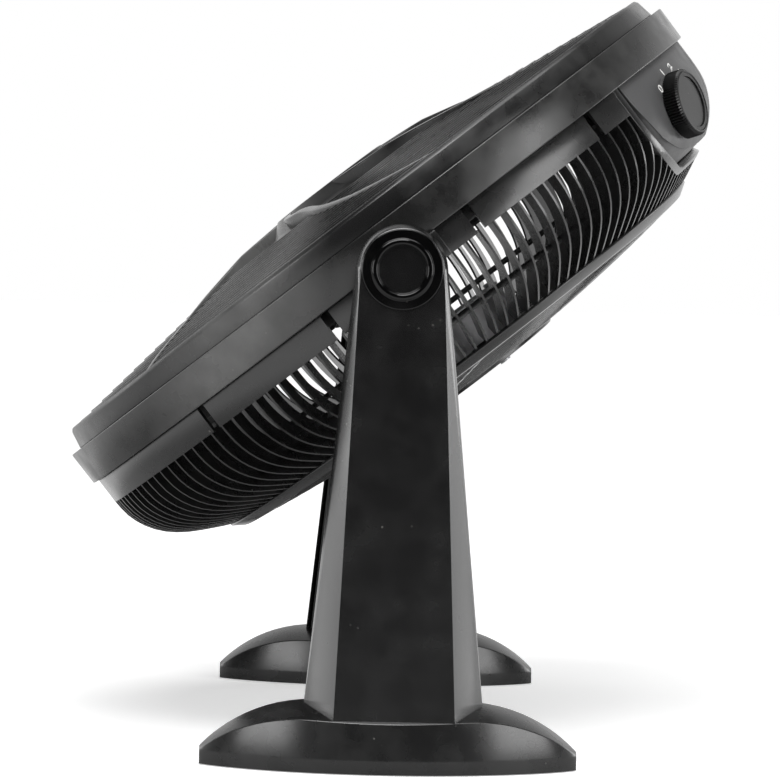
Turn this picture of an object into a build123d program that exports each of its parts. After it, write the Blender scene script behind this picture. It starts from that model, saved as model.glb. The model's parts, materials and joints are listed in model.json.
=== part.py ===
from build123d import *
import math
import os

# Air circulator fan on two legs. Millimetres, +Z up, origin on the floor midway between the feet.
# The tilt axis runs along X, and the fan's front faces -Y when the head is level.

# Stance
AXIS_HEIGHT = 294.7          # tilt axis above the floor
AXIS_SETBACK = 2.5           # tilt axis behind the middle of the feet
HEAD_TURN = 38.4             # how far the head is turned down from facing straight up

# Head rings, with heights along the fan axis: zero at the tilt axis, positive to the front
RING_RADIUS = 240.0
RING_FRONT = 30.9
RING_BACK = 7.6
RING_EDGE = 2.0              # rounding of the ring's front edge
BEZEL_RADIUS = 232.0
BEZEL_FRONT = 44.6
SKIRT_RADIUS = 236.0
SKIRT_BACK = -10.3
WALL = 2.4                   # usual moulded wall
DUCT_RADIUS = 207.0          # inner face of the duct round the blades
DUCT_BACK = -2.0

# Front grille
SLAT_FIRST = 98.0            # radius of the innermost slat
SLAT_PITCH = 9.5
SLAT_COUNT = 14
SLAT_THICKNESS = 1.8
SLAT_DEPTH = 7.0
DOME_SLOPE = 0.122           # rise of the slats for each millimetre inwards
DISH_FLOOR_DROP = 3.0        # pockets below the first slat
DISH_CUP = ((16.0, 1.5), (24.0, 0.0))        # past the hub's radius, and above the dish's floor
DISH_UNDERSIDE = ((22.0, -2.4), (12.0, 0.0), (-4.8, 7.0))
DOME_EDGE = 4.0              # the dome starts this far outside the last slat
HUB_RADIUS = 42.0
HUB_FRONT = 70.4
HUB_DISC_THICKNESS = 2.4
HUB_DISC_EDGE = 0.6
HUB_PLUG_DEPTH = 4.0
SPOKE_COUNT = 6
SPOKE_HUB_WIDTH = 9.0
SPOKE_RIM_WIDTH = 5.0
SPOKE_CREST = 4.3            # how far the spokes stand above the dome beside the hub
SPOKE_CREST_START = 75.0     # radius at which the spokes stand highest above the slats
SPOKE_CREST_END = 150.0      # radius at which the spokes are nearly flush with the slats
SPOKE_CREST_PROUD = 0.8
SPOKE_RIM_GAP = 4.0          # the spokes end this far inside the bezel's outside
SPOKE_LOW, SPOKE_TALL = 20.0, 60.0
BEZEL_FLARE = 0.8
BEZEL_CHAMFER = 1.5
BEZEL_LAND = 7.0             # width of the bezel's flat front edge
SPOKE_PATH = [(44, -52), (60, -35), (82, -17), (113, -7.7), (160, 3.7), (226, 15)]

# Rear grille
RIB_COUNT = 144
RIB_THICKNESS = 1.4
RIB_DEPTH = 10.5
RIB_ROOT = 1.5               # how far the ribs reach up into the skirt
SHOULDER = [(236.0, -10.3), (228.5, -37.0), (206.0, -57.0), (178.0, -70.2)]
SHOULDER_END = (-0.93, -0.37)    # direction of the shoulder where it meets the back ring
OFFSET_STEPS = 6
BACK_RING_RADIUS = 178.0
BACK_CENTRE = -88.0
BACK_CURVE = 0.00047         # rise of the back towards its edge, per square millimetre
BACK_SLAT_FIRST = 72.0
BACK_SLAT_COUNT = 11
BACK_PLATE_RADIUS = 62.0
BACK_SPOKE_WIDTH = 6.0
BACK_SPOKE_SWEEP = 34.0      # turn of each back spoke between plate and back ring, in degrees
BACK_SPOKE_BOW = 0.62        # share of that turn reached half-way out
BACK_SPOKE_FIRST = 30.0
BACK_SPOKE_ROOT = 3.0        # how far a back spoke reaches into plate and back ring
BACK_RING_WIDTH = 7.5        # outside the back ring's radius
BACK_RING_LIP = 3.5          # inside it
BACK_RING_FRONT = -66.6
BACK_RING_EDGE = -68.4
BACK_RING_INSIDE = -69.0
BACK_RING_PROUD = 0.3        # how far the ring stands behind the slats
MID_RING_OUTER = 212.0
MID_RING_INNER = 206.0
MID_RING_FRONT = -42.0
MID_RING_BACK = -46.0
SLOT_WIDTH = 6.0
SLOT_ANGLES = (12.9, 38.6)
FLANGE_GAP = 2.0             # from the ring's back edge up to the flange inside it
FLANGE_OVERLAP = 4.0         # clear width between duct and flange

# Control panel on top of the rear grille
PANEL_CORNER = (97.0, 176.0)
PANEL_SIDE_OUT = (187.0, 168.0)
PANEL_INNER_RADIUS = 201.0
FRAME_WIDTH = 2.5
FRAME_DEPTH = 9.0
PANEL_GAP = 0.25
GROOVE_WIDTH = 2.6
GROOVE_DEPTH = 3.0
PAD_CORNER_RADIUS = 18.0
PANEL_DEPTH = 110.0          # the panel's plan is cut through this much of the side
CORNER_REACH = 20.0          # the pad's rounded corners lie this near the plan's inner corners
INNER_CORE = 150.0           # radius inside which the shoulder's inside isn't needed

# Speed knob, on the panel's surface
KNOB_ANGLE = 60.0
KNOB_RADIUS_FROM_AXIS = 234.0
KNOB_HEIGHT_ON_AXIS = -25.0
KNOB_LEAN = 17.0             # the knob's axis leans to the back by this much
KNOB_RADIUS = 21.5
KNOB_SEAT_DROP = 1.5         # flat seat below the panel's surface at the knob's middle
KNOB_HEIGHT = 10.2
KNOB_GAP = 0.6               # between knob and seat
KNOB_RIM_HEIGHT = 4.2
KNOB_TEETH = 72
KNOB_TOOTH = 0.7
KNOB_CRESCENT_DEPTH = 0.9
KNOB_CRESCENT_WIDTH = 7.0
KNOB_FACE_LAND = 4.5         # flat rim of the face round the crescent
KNOB_CHAMFER = 0.8
KNOB_SKIN = 2.4              # over the end of the spindle
SPINDLE_RADIUS = 3.0
SEAT_THICKNESS = 3.2
SEAT_CORE_RADIUS = 14.0
SWITCH_HALF = 10.0
SWITCH_DEPTH = 15.0
SWITCH_NECK_RADIUS = 4.5
SWITCH_NUT_RADIUS = 7.0
SWITCH_NUT_HEIGHT = 2.0
SWITCH_FLOOR = 3.0
TAG_SPREAD = 6.0
TAG_HALF_WIDTH = 7.0
TAG_HALF_THICKNESS = 0.4
TAG_LENGTH = 4.0
TAG_GAP = 3.0
COVER_DEPTH = 26.0
COVER_POST_SPREAD = 18.0
COVER_POST_RADIUS = 4.0
GLAND_BORE_RADIUS = 3.4      # takes a mains cord
GLAND_RADIUS = 5.5
GLAND_LIP = 1.5
GLAND_LIP_HEIGHT = 1.6
GLAND_HEIGHT = -19.0

# Tilt pivots
BOLT_RADIUS = 4.0
BOLT_END = 5.0               # how far the bolt reaches past its insert
BOLT_HEAD_RADIUS = 8.0
BOLT_HEAD_HEIGHT = 5.5
RUNNING_GAP = 0.05           # radial gap of everything that turns in a bore
FACE_GAP = 0.2               # gap between faces that slide past each other
FIT_GAP = 0.25               # gap round fixed pieces that fit into each other
TRUNNION_HALF_WIDTH = 30.0
TRUNNION_CORE_HALF = 13.0    # the block behind the threaded insert
TRUNNION_CORE_EXTRA = 14.0
TRUNNION_ROOT = 4.0
BOLT_END_ROOM = 0.6
LOCK_WASHER_THICKNESS = 1.2
BOLT_SEAT_DEPTH = 13.0       # from the leg's inner face to the seat of the bolt's head
BOLT_WRENCH_ROOM = 2.5
WASHER_THICKNESS = 1.4
WASHER_RADIUS = 17.0
INSERT_RADIUS = 6.0
INSERT_LENGTH = 16.0

# Legs
LEG_INNER_X = 247.0
LEG_OUTER_X = 273.5          # outer face at the height of the tilt axis
LEG_LEAN = 4.86              # lean of the outer face, in degrees
LEG_TOP_RADIUS_INNER = 27.0
LEG_TOP_RADIUS_OUTER = 24.7
LEG_FOOT_HALF_INNER = 53.5
LEG_FOOT_HALF_OUTER = 35.5
LEG_WALL = 3.0
LEG_COVER_THICKNESS = 2.5
LEG_RIB = 2.2
LEG_RIB_HEIGHTS = (90.0, 145.0, 200.0)
LEG_BOSS_RADIUS = 15.0
LEG_BOSS_LENGTH = 16.0
LEG_LIP = 20.0               # depth of the rebate for the inner cover
LEG_OVERRUN = 10.0           # the leg's sides are drawn on this far below the floor
LEG_OVERLAP = 12.0           # how far the leg reaches down into the foot's top
COVER_SCREW_BOSS = 4.2
COVER_SCREW_SPREAD = 26.0
COVER_SCREW_HEIGHTS = (110.0, 190.0)
COVER_SCREW_LENGTH = 9.0
PILOT_DEPTH = 12.0
CAP_RADIUS = 24.0
CAP_THICKNESS = 1.2
CAP_PLUG_RADIUS = 19.0
CAP_RECESS_DEPTH = 11.0
CAP_PLUG_DEPTH = 8.0
CAP_EDGE = 0.6
CAP_SKIN = 1.4
CAP_SINK = 1.6               # the middle lies this far below the rim
CAP_BEAD_HEIGHT = 1.0
CAP_BEAD_OUTER = 18.0
CAP_BEAD_INNER = 14.5

# Feet
FOOT_HALF_LENGTH = 111.7
FOOT_CENTRE_X = 257.0
FOOT_HALF_WIDTH = 45.0
FOOT_TIP_HALF_WIDTH = 2.5
FOOT_BAND = 8.8              # upright band along the floor
FOOT_TOP_INSET = 2.3
FOOT_EDGE_HEIGHT = 30.0
FOOT_CREST_HEIGHT = 40.0
FOOT_TIP_EDGE = 9.5
FOOT_FULLNESS = 1.6          # how blunt the foot's plan is
FOOT_EDGE_SHARE = 0.15       # part of the rise from edge to crest that stays at the tips
FOOT_STEPS = 8
FOOT_CREST_HALF_WIDTH = 0.6
SOCKET_HALF = 20.0
FOOT_WALL = 3.0
FOOT_RIB = 2.2
FOOT_RIB_PLACES = (30.0, 60.0, 88.0)
PAD_RADIUS = 5.0
PAD_THICKNESS = 2.0
PAD_STAND_OFF = 0.6          # the rubber pads lift the feet by this much
PAD_PLACES = ((257.0, 96.0), (257.0, -96.0), (291.5, 0.0), (222.5, 0.0))
TENON_LENGTH = 52.0          # along Y
TENON_WIDTH = 30.0           # along X
TENON_CENTRE_X = 270.0
TENON_BOTTOM = 14.0
TENON_POST_RADIUS = 4.6
FOOT_SCREW_SPREAD = 16.0
FOOT_SCREW_LENGTH = 16.0
FOOT_PILOT_DEPTH = 20.0
FOOT_CREST_FLAT = 45.0       # half-length of the level part of the crest
FOOT_CREST_ARC = 92.0

# Impeller
BLADE_COUNT = 6
BLADE_TIP_RADIUS = 200.0
BLADE_THICKNESS = 2.4
BLADE_MIDDLE = 14.0          # height of the blades' middle on the fan axis
BLADE_ROOT = (62.0, 38.0)    # chord and pitch at the hub
BLADE_MID = (98.0, 25.0)
BLADE_TIP = (112.0, 17.0)
IMPELLER_HUB_RADIUS = 36.0
IMPELLER_HUB_BACK = -6.0
IMPELLER_HUB_FRONT = 34.0
IMPELLER_BOSS_RADIUS = 9.0
IMPELLER_NOSE = 6.0
BLADE_CAMBER = 0.07
BLADE_ROOT_DEPTH = 4.0
NUT_RADIUS = 10.0
NUT_HEIGHT = 12.0
NUT_EDGE = 3.0
NUT_WING_REACH = 14.0
NUT_WING_HALF = 1.5
NUT_WING_HEIGHT = 8.0

# Motor
SHAFT_RADIUS = 4.0
SHAFT_FRONT = 44.0
SHAFT_BACK = -83.0
MOTOR_RADIUS = 44.0
MOTOR_FRONT = -46.0
MOTOR_BACK = -85.5
MOTOR_SPLIT = -67.0
STATOR_RADIUS = 40.0
STATOR_BORE = 22.0
STATOR_FRONT = -58.0
STATOR_BACK = -76.0
AIR_GAP = 0.4
STATOR_SLOTS = 16
BEARING_RADIUS = 11.0
BEARING_THICKNESS = 7.0
BEARING_FRONT = -36.5
BEARING_REAR = -77.0
SNOUT_RADIUS = 14.5
MOTOR_SCREW_CIRCLE = 31.0
MOTOR_BOLT_CIRCLE = 43.5
MOTOR_FIXINGS = 4
MOTOR_LUG_RADIUS = 5.0
MOTOR_BOLT_TIP = 5.0         # the bolts end this far inside the rear shield's back
MOTOR_BOLT_ROOM = 4.0
MOTOR_SCREW_FIRST = 45.0
MOTOR_VENT_COUNT = 8
MOTOR_VENT_CIRCLE = 28.0
MOTOR_VENT_RADIUS = 5.0
SNOUT_PROUD = 1.5
SLOT_TOOTH = 2.5             # iron between the bore and the winding slots
SLOT_DEPTH = 12.0
SLOT_HALF = 2.2
SLOT_MOUTH_HALF = 0.8
WINDING_INSET = 3.0
WINDING_HEIGHT = 6.0
WINDING_EDGE = 2.0
END_RING = (4.0, 9.0)        # below the bore, outside and inside of the rotor's end ring
END_RING_HEIGHT = 4.0
RACE_GROOVE = 0.4
CAPACITOR_HALF = 13.0
CAPACITOR_THICKNESS = 13.0
CAPACITOR_LENGTH = 24.0
CAPACITOR_TURN = -45.0
CAPACITOR_EDGE = 2.0

# Fasteners
SCREW_RADIUS = 1.95
SCREW_HEAD_RADIUS = 3.8
SCREW_HEAD_HEIGHT = 2.6
SCREW_HOLE_GAP = 0.1
SCREW_SLOT_HALF = 0.5
HEXAGON = 6
RING_SCREW_CIRCLE = 222.5
RING_SCREW_COUNT = 8
RING_BOSS_RADIUS = 4.6
RING_BOSS_GAP = 0.3          # from the flange up to the screw bosses
RING_SCREW_END = 10.0        # below the bezel's front
BEYOND = 400.0               # past the object on every side, for cutting shapes
PAST = 20.0                  # past any wall that a hole goes through

AXIS_POINT = Pos(0, AXIS_SETBACK, AXIS_HEIGHT)
HEAD = AXIS_POINT * Rot(HEAD_TURN, 0, 0)
KNOB_PLACE = (
    Rot(0, 0, KNOB_ANGLE)
    * Pos(KNOB_RADIUS_FROM_AXIS, 0, KNOB_HEIGHT_ON_AXIS)
    * Rot(0, 90 + KNOB_LEAN, 0)
)
TRUNNION_FACE = LEG_INNER_X - WASHER_THICKNESS - FACE_GAP
KNOB_SEAT = -KNOB_SEAT_DROP
SWITCH_FACE = KNOB_SEAT - SEAT_THICKNESS


# ------------------------------------------------------------------ basic shapes
def disc(radius, low, high):
    return Pos(0, 0, low) * extrude(Circle(radius), high - low)


def tube(outer, inner, low, high):
    return Pos(0, 0, low) * extrude(Circle(outer) - Circle(inner), high - low)


def block(x_range, y_range, z_range):
    size = [high - low for low, high in (x_range, y_range, z_range)]
    middle = [(low + high) / 2 for low, high in (x_range, y_range, z_range)]
    return Pos(*middle) * Box(*size)


def turned(points):
    """Solid of revolution about Z from a closed outline of (radius, height) points."""
    return revolve(Plane.XZ * make_face(Polyline(*points, close=True)), Axis.Z)


def spread(count, radius, first=0.0):
    return [Rot(0, 0, first + 360 * k / count) * Pos(radius, 0, 0) for k in range(count)]


def screw(tip, seat, radius=SCREW_RADIUS, head_radius=SCREW_HEAD_RADIUS,
          head_height=SCREW_HEAD_HEIGHT):
    """Pan-head screw along Z: the shank reaches from the seat to the tip."""
    away = 1 if seat > tip else -1
    low, high = sorted((tip, seat))
    head_low, head_high = sorted((seat, seat + away * head_height))
    body = disc(radius, low, high) + disc(head_radius, head_low, head_high)
    half = SCREW_SLOT_HALF
    slot = block((-head_radius, head_radius), (-half, half), (-half, half))
    return body - Pos(0, 0, seat + away * head_height) * slot


def mirrored(shape):
    return mirror(shape, about=Plane.YZ)


# ------------------------------------------------------------------ rear grille outline
def shoulder_curve():
    """The rounded side of the rear grille, from the skirt down to the back ring."""
    return Spline(*[Vector(*p) for p in SHOULDER], tangents=[Vector(0, -1), Vector(*SHOULDER_END)])


def shoulder_offset(depth):
    """Points of the shoulder moved inwards by a depth, and the end directions."""
    curve = shoulder_curve()
    points = []
    for k in range(OFFSET_STEPS + 1):
        place = curve @ (k / OFFSET_STEPS)
        along = curve % (k / OFFSET_STEPS)
        points.append((place.X + along.Y * depth, place.Y - along.X * depth))
    return points


def layer(near, far):
    """Solid between two depths under the skirt and shoulder surface, all round."""
    outlines = []
    for depth in (near, far):
        points = shoulder_offset(depth)
        straight = Line((points[0][0], RING_BACK), points[0])
        curve = shoulder_curve()
        bend = Spline(*points, tangents=[curve % 0, curve % 1])
        outlines.append((straight, bend, points[-1]))
    edges = [
        outlines[0][0], outlines[0][1], Line(outlines[0][2], outlines[1][2]),
        outlines[1][1], outlines[1][0],
        Line((outlines[1][0] @ 0), (outlines[0][0] @ 0)),
    ]
    return revolve(Plane.XZ * make_face(edges), Axis.Z)


def panel_outline(inset, corner=0.0):
    """Plan of the panel, seen along the fan axis: straight ends and two arcs."""
    inner_x, inner_y = PANEL_CORNER
    outer_x, outer_y = PANEL_SIDE_OUT
    outer_top = math.hypot(outer_x, outer_y)
    edges = [
        Line((inner_x, inner_y), (outer_x, outer_y)),
        ThreePointArc((outer_x, outer_y), (0, outer_top), (-outer_x, outer_y)),
        Line((-outer_x, outer_y), (-inner_x, inner_y)),
        ThreePointArc((-inner_x, inner_y), (0, PANEL_INNER_RADIUS), (inner_x, inner_y)),
    ]
    plan = make_face(edges)
    if inset:
        plan = offset(plan, amount=-inset, kind=Kind.INTERSECTION)
    if corner:
        corners = [v for v in plan.vertices() if abs(v.X) < inner_x + CORNER_REACH]
        plan = fillet(corners, corner)
    return plan


def panel_prism(inset, corner=0.0):
    return Pos(0, 0, RING_BACK - PANEL_DEPTH) * extrude(panel_outline(inset, corner), PANEL_DEPTH)


# ------------------------------------------------------------------ rear grille
def side_ribs():
    curve = shoulder_curve()
    inner = shoulder_offset(RIB_DEPTH)
    root = SKIRT_BACK + RIB_ROOT
    edges = [
        Line((SKIRT_RADIUS, root), SHOULDER[0]),
        curve,
        Line(SHOULDER[-1], inner[-1]),
        Spline(*inner, tangents=[curve % 0, curve % 1]),
        Line(inner[0], (SKIRT_RADIUS - RIB_DEPTH, root)),
        Line((SKIRT_RADIUS - RIB_DEPTH, root), (SKIRT_RADIUS, root)),
    ]
    rib = extrude(Plane.XZ * make_face(edges), RIB_THICKNESS / 2, both=True)
    return [Rot(0, 0, 360 * k / RIB_COUNT) * rib for k in range(RIB_COUNT)]


def back_surface(radius):
    return BACK_CENTRE + BACK_CURVE * radius ** 2


def back_slats():
    slats = []
    for k in range(BACK_SLAT_COUNT):
        radius = BACK_SLAT_FIRST + k * SLAT_PITCH
        low = back_surface(radius)
        slats.append(tube(radius + SLAT_THICKNESS / 2, radius - SLAT_THICKNESS / 2,
                          low, low + SLAT_DEPTH))
    return slats


def back_spokes():
    inner = BACK_PLATE_RADIUS - BACK_SPOKE_ROOT
    outer = BACK_RING_RADIUS
    turn = math.radians(BACK_SPOKE_SWEEP)
    side = BACK_SPOKE_WIDTH / 2
    path = [(inner, 0.0), ((inner + outer) / 2, turn * BACK_SPOKE_BOW), (outer, turn)]
    edges = []
    for shift in (-side, side):
        points = [(r * math.cos(a + shift / r), r * math.sin(a + shift / r)) for r, a in path]
        edges.append(ThreePointArc(*points))
    plan = make_face([
        edges[0], Line(edges[0] @ 1, edges[1] @ 1), edges[1], Line(edges[1] @ 0, edges[0] @ 0),
    ])
    reach, start = BACK_RING_RADIUS + 1, inner - BACK_SPOKE_ROOT
    thick = SLAT_DEPTH + 1
    layer_all_round = turned([
        (start, back_surface(inner)), (reach, back_surface(reach)),
        (reach, back_surface(reach) + thick), (start, back_surface(inner) + thick),
    ])
    blade = Pos(0, 0, BACK_CENTRE - 1) * extrude(plan, SPOKE_TALL)
    spokes = [Rot(0, 0, BACK_SPOKE_FIRST + 360 * k / SPOKE_COUNT) * blade for k in range(SPOKE_COUNT)]
    return [spoke & layer_all_round for spoke in spokes]


def back_plate():
    plate = disc(BACK_PLATE_RADIUS, BACK_CENTRE, MOTOR_BACK)
    rim = tube(BACK_PLATE_RADIUS, BACK_PLATE_RADIUS - WALL, BACK_CENTRE, back_surface(BACK_PLATE_RADIUS)
               + SLAT_DEPTH)
    plate += rim
    holes = [place * disc(SCREW_RADIUS + SCREW_HOLE_GAP, BACK_CENTRE - 1, MOTOR_BACK + 1)
             for place in spread(MOTOR_FIXINGS, MOTOR_SCREW_CIRCLE, MOTOR_SCREW_FIRST)]
    return plate - holes


def back_ring():
    radius = BACK_RING_RADIUS
    outside, inside = radius + BACK_RING_WIDTH, radius - BACK_RING_LIP
    return turned([
        (outside - 0.5, BACK_RING_FRONT), (outside, BACK_RING_EDGE),
        (radius, back_surface(radius) - BACK_RING_PROUD), (inside, back_surface(inside) - BACK_RING_PROUD),
        (inside, BACK_RING_INSIDE), (radius, BACK_RING_FRONT),
    ])


def trunnion():
    front = RING_BACK - FACE_GAP
    root = SKIRT_RADIUS - WALL - TRUNNION_ROOT
    core_end = TRUNNION_FACE - INSERT_LENGTH - TRUNNION_CORE_EXTRA
    body = block((root, TRUNNION_FACE), (-TRUNNION_HALF_WIDTH, TRUNNION_HALF_WIDTH), (SKIRT_BACK, front))
    core = block((core_end, SKIRT_RADIUS), (-TRUNNION_CORE_HALF, TRUNNION_CORE_HALF), (SKIRT_BACK, front))
    return body + core


def trunnion_bore():
    """Stepped hole for the threaded insert, with room behind it for the bolt's end."""
    low = TRUNNION_FACE - INSERT_LENGTH
    bore = disc(INSERT_RADIUS, low, TRUNNION_FACE + PAST)
    relief = disc(BOLT_RADIUS + BOLT_END_ROOM, low - BOLT_END - 2, low + 1)
    return Rot(0, 90, 0) * (bore + relief)


def ring_screw_places():
    step = 360 / RING_SCREW_COUNT
    return spread(RING_SCREW_COUNT, RING_SCREW_CIRCLE, step / 2)


def rear_grille():
    flange_low = RING_BACK + FLANGE_GAP
    skirt = tube(SKIRT_RADIUS, SKIRT_RADIUS - WALL, SKIRT_BACK, flange_low + WALL)
    flange = tube(SKIRT_RADIUS, DUCT_RADIUS + WALL + FLANGE_OVERLAP, flange_low, flange_low + WALL)
    holes = [place * disc(SCREW_RADIUS + SCREW_HOLE_GAP, 0, PAST) for place in ring_screw_places()]
    mid_ring = tube(MID_RING_OUTER, MID_RING_INNER, MID_RING_BACK, MID_RING_FRONT)
    slots = []
    for angle in SLOT_ANGLES:
        for turn in (angle, -angle, 180 - angle, 180 + angle):
            cut = block((SKIRT_RADIUS - 2 * WALL, SKIRT_RADIUS + WALL), (-SLOT_WIDTH / 2, SLOT_WIDTH / 2),
                        (SKIRT_BACK - 1, RING_BACK))
            slots.append(Rot(0, 0, turn) * cut)
    body = skirt + [mid_ring, *side_ribs(), back_ring(), *back_slats(), *back_spokes(), back_plate()]
    body -= panel_prism(0)
    body = body - slots
    ends = trunnion()
    frame = layer(0, FRAME_DEPTH) & (panel_prism(0) - panel_prism(FRAME_WIDTH))
    body = body + [flange, ends, mirrored(ends), frame]
    return body - [*holes, trunnion_bore(), mirrored(trunnion_bore())]


# ------------------------------------------------------------------ housing ring and front grille
def housing_ring():
    shell = turned([
        (RING_RADIUS, RING_BACK), (RING_RADIUS, RING_FRONT), (DUCT_RADIUS, RING_FRONT),
        (DUCT_RADIUS, DUCT_BACK), (DUCT_RADIUS + WALL, DUCT_BACK),
        (DUCT_RADIUS + WALL, RING_FRONT - WALL), (RING_RADIUS - WALL, RING_FRONT - WALL),
        (RING_RADIUS - WALL, RING_BACK),
    ])
    rims = shell.edges().filter_by(GeomType.CIRCLE).sort_by(lambda e: (round(e.radius), e.center().Z))
    shell = fillet(rims[-1], RING_EDGE)
    holes = [place * disc(RING_BOSS_RADIUS + FIT_GAP, RING_FRONT - 2 * WALL, RING_FRONT + 1)
             for place in ring_screw_places()]
    return shell - holes


def dome(radius):
    slat_last = SLAT_FIRST + SLAT_PITCH * (SLAT_COUNT - 1)
    return BEZEL_FRONT + DOME_SLOPE * (slat_last + DOME_EDGE - radius)


def front_slats():
    slats = []
    for k in range(SLAT_COUNT):
        radius = SLAT_FIRST + k * SLAT_PITCH
        top = dome(radius)
        slats.append(tube(radius + SLAT_THICKNESS / 2, radius - SLAT_THICKNESS / 2,
                          top - SLAT_DEPTH, top))
    return slats


def front_spokes():
    """Six curved arms whose crest rises above the slats towards the hub."""
    sides = []
    inner, outer = SPOKE_PATH[0][0], SPOKE_PATH[-1][0]
    for side in (-1, 1):
        points = []
        for radius, angle in SPOKE_PATH:
            share = (radius - inner) / (outer - inner)
            half = (SPOKE_HUB_WIDTH + share * (SPOKE_RIM_WIDTH - SPOKE_HUB_WIDTH)) / 2
            turn = math.radians(angle) + side * half / radius
            points.append((radius * math.cos(turn), radius * math.sin(turn)))
        sides.append(Spline(*points))
    plan = make_face([
        sides[0], Line(sides[0] @ 1, sides[1] @ 1), sides[1], Line(sides[1] @ 0, sides[0] @ 0),
    ])
    root, rim = HUB_RADIUS - 2, BEZEL_RADIUS - SPOKE_RIM_GAP
    crest = turned([
        (root, HUB_FRONT - SLAT_DEPTH - SPOKE_CREST), (root, HUB_FRONT - FIT_GAP),
        (SPOKE_CREST_START, dome(SPOKE_CREST_START) + SPOKE_CREST),
        (SPOKE_CREST_END, dome(SPOKE_CREST_END) + SPOKE_CREST_PROUD),
        (rim, BEZEL_FRONT - FACE_GAP), (rim, BEZEL_FRONT - SLAT_DEPTH),
        (SPOKE_CREST_END, dome(SPOKE_CREST_END) - SLAT_DEPTH),
    ])
    arm = Pos(0, 0, SPOKE_LOW) * extrude(plan, SPOKE_TALL)
    return [(Rot(0, 0, 360 * k / SPOKE_COUNT) * arm) & crest for k in range(SPOKE_COUNT)]


def front_dish():
    """Hub cup and the shallow pockets between it and the first slat."""
    floor = dome(SLAT_FIRST) - DISH_FLOOR_DROP
    ledge = HUB_FRONT - HUB_DISC_THICKNESS - FACE_GAP
    return turned([
        (HUB_RADIUS - 2 * WALL, ledge), (HUB_RADIUS - WALL, ledge),
        (HUB_RADIUS - WALL, HUB_FRONT), (HUB_RADIUS, HUB_FRONT),
        *[(HUB_RADIUS + out, floor + rise) for out, rise in DISH_CUP],
        (SLAT_FIRST, floor), (SLAT_FIRST, floor - WALL),
        *[(HUB_RADIUS + out, floor + rise) for out, rise in DISH_UNDERSIDE],
    ])


def front_grille():
    inside = BEZEL_RADIUS - BEZEL_LAND
    rim = turned([
        (BEZEL_RADIUS - WALL, RING_FRONT), (BEZEL_RADIUS + BEZEL_FLARE, RING_FRONT),
        (BEZEL_RADIUS, BEZEL_FRONT - 2), (BEZEL_RADIUS - BEZEL_CHAMFER, BEZEL_FRONT),
        (inside, BEZEL_FRONT), (inside, BEZEL_FRONT - SLAT_DEPTH),
        (inside + WALL, BEZEL_FRONT - SLAT_DEPTH), (inside + WALL, BEZEL_FRONT - WALL),
        (BEZEL_RADIUS - WALL, BEZEL_FRONT - WALL),
    ])
    boss_low = RING_BACK + FLANGE_GAP + WALL + RING_BOSS_GAP
    pilot = SCREW_RADIUS + RUNNING_GAP
    bosses = [place * disc(RING_BOSS_RADIUS, boss_low, BEZEL_FRONT - 1) for place in ring_screw_places()]
    pilot_end = BEZEL_FRONT - RING_SCREW_END + 1
    pilots = [place * disc(pilot, boss_low - 1, pilot_end) for place in ring_screw_places()]
    body = rim + [*front_slats(), *front_spokes(), front_dish(), *bosses]
    return body - pilots


def hub_disc():
    seat = HUB_FRONT - HUB_DISC_THICKNESS
    button = disc(HUB_RADIUS - WALL - FIT_GAP, seat, HUB_FRONT)
    rim = button.edges().filter_by(GeomType.CIRCLE).sort_by(Axis.Z)[-1]
    button = fillet(rim, HUB_DISC_EDGE)
    plug = tube(HUB_RADIUS - 2 * WALL - FIT_GAP, HUB_RADIUS - 3 * WALL, seat - HUB_PLUG_DEPTH, seat)
    return button + plug


def ring_screws():
    seat = RING_BACK + FLANGE_GAP
    return [place * screw(BEZEL_FRONT - RING_SCREW_END, seat) for place in ring_screw_places()]


# ------------------------------------------------------------------ control panel and switch
def inner_space(depth):
    """Everything inside the skirt and shoulder surface, from a depth under it."""
    curve = shoulder_curve()
    points = shoulder_offset(depth)
    front, core = (points[0][0], RING_BACK), INNER_CORE
    edges = [
        Line(front, points[0]), Spline(*points, tangents=[curve % 0, curve % 1]),
        Line(points[-1], (core, points[-1][1])), Line((core, points[-1][1]), (core, RING_BACK)),
        Line((core, RING_BACK), front),
    ]
    return revolve(Plane.XZ * make_face(edges), Axis.Z)


def control_panel():
    edge = FRAME_WIDTH + PANEL_GAP
    pad_edge = edge + GROOVE_WIDTH
    floor = layer(GROOVE_DEPTH, GROOVE_DEPTH + WALL) & panel_prism(edge)
    pad = layer(0, GROOVE_DEPTH) & panel_prism(pad_edge, PAD_CORNER_RADIUS)
    hollow = inner_space(WALL) & panel_prism(pad_edge + WALL, PAD_CORNER_RADIUS)
    recess = KNOB_PLACE * disc(KNOB_RADIUS + KNOB_GAP, KNOB_SEAT, PAST)
    seat = KNOB_PLACE * disc(KNOB_RADIUS - 1, KNOB_SEAT - SWITCH_DEPTH, KNOB_SEAT) - inner_space(WALL)
    core = KNOB_PLACE * disc(SEAT_CORE_RADIUS, SWITCH_FACE, KNOB_SEAT)
    bore = KNOB_PLACE * disc(SWITCH_NECK_RADIUS + FIT_GAP, -PAST, PAST)
    panel = floor + pad - hollow - recess
    for piece in (seat, core, *cover_posts()):
        panel = panel + piece
    return panel - bore


def cover_posts():
    """Two posts inside the panel that take the screws of the switch cover."""
    posts = []
    for side in (-1, 1):
        post = disc(COVER_POST_RADIUS, -COVER_DEPTH, KNOB_SEAT)
        pilot = disc(SCREW_RADIUS + RUNNING_GAP, -COVER_DEPTH - 1, -COVER_DEPTH + PILOT_DEPTH)
        posts.append(KNOB_PLACE * Pos(0, side * COVER_POST_SPREAD, 0) * (post - pilot))
    return posts


def cover_half_width():
    return SWITCH_HALF + 2 + WALL


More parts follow.
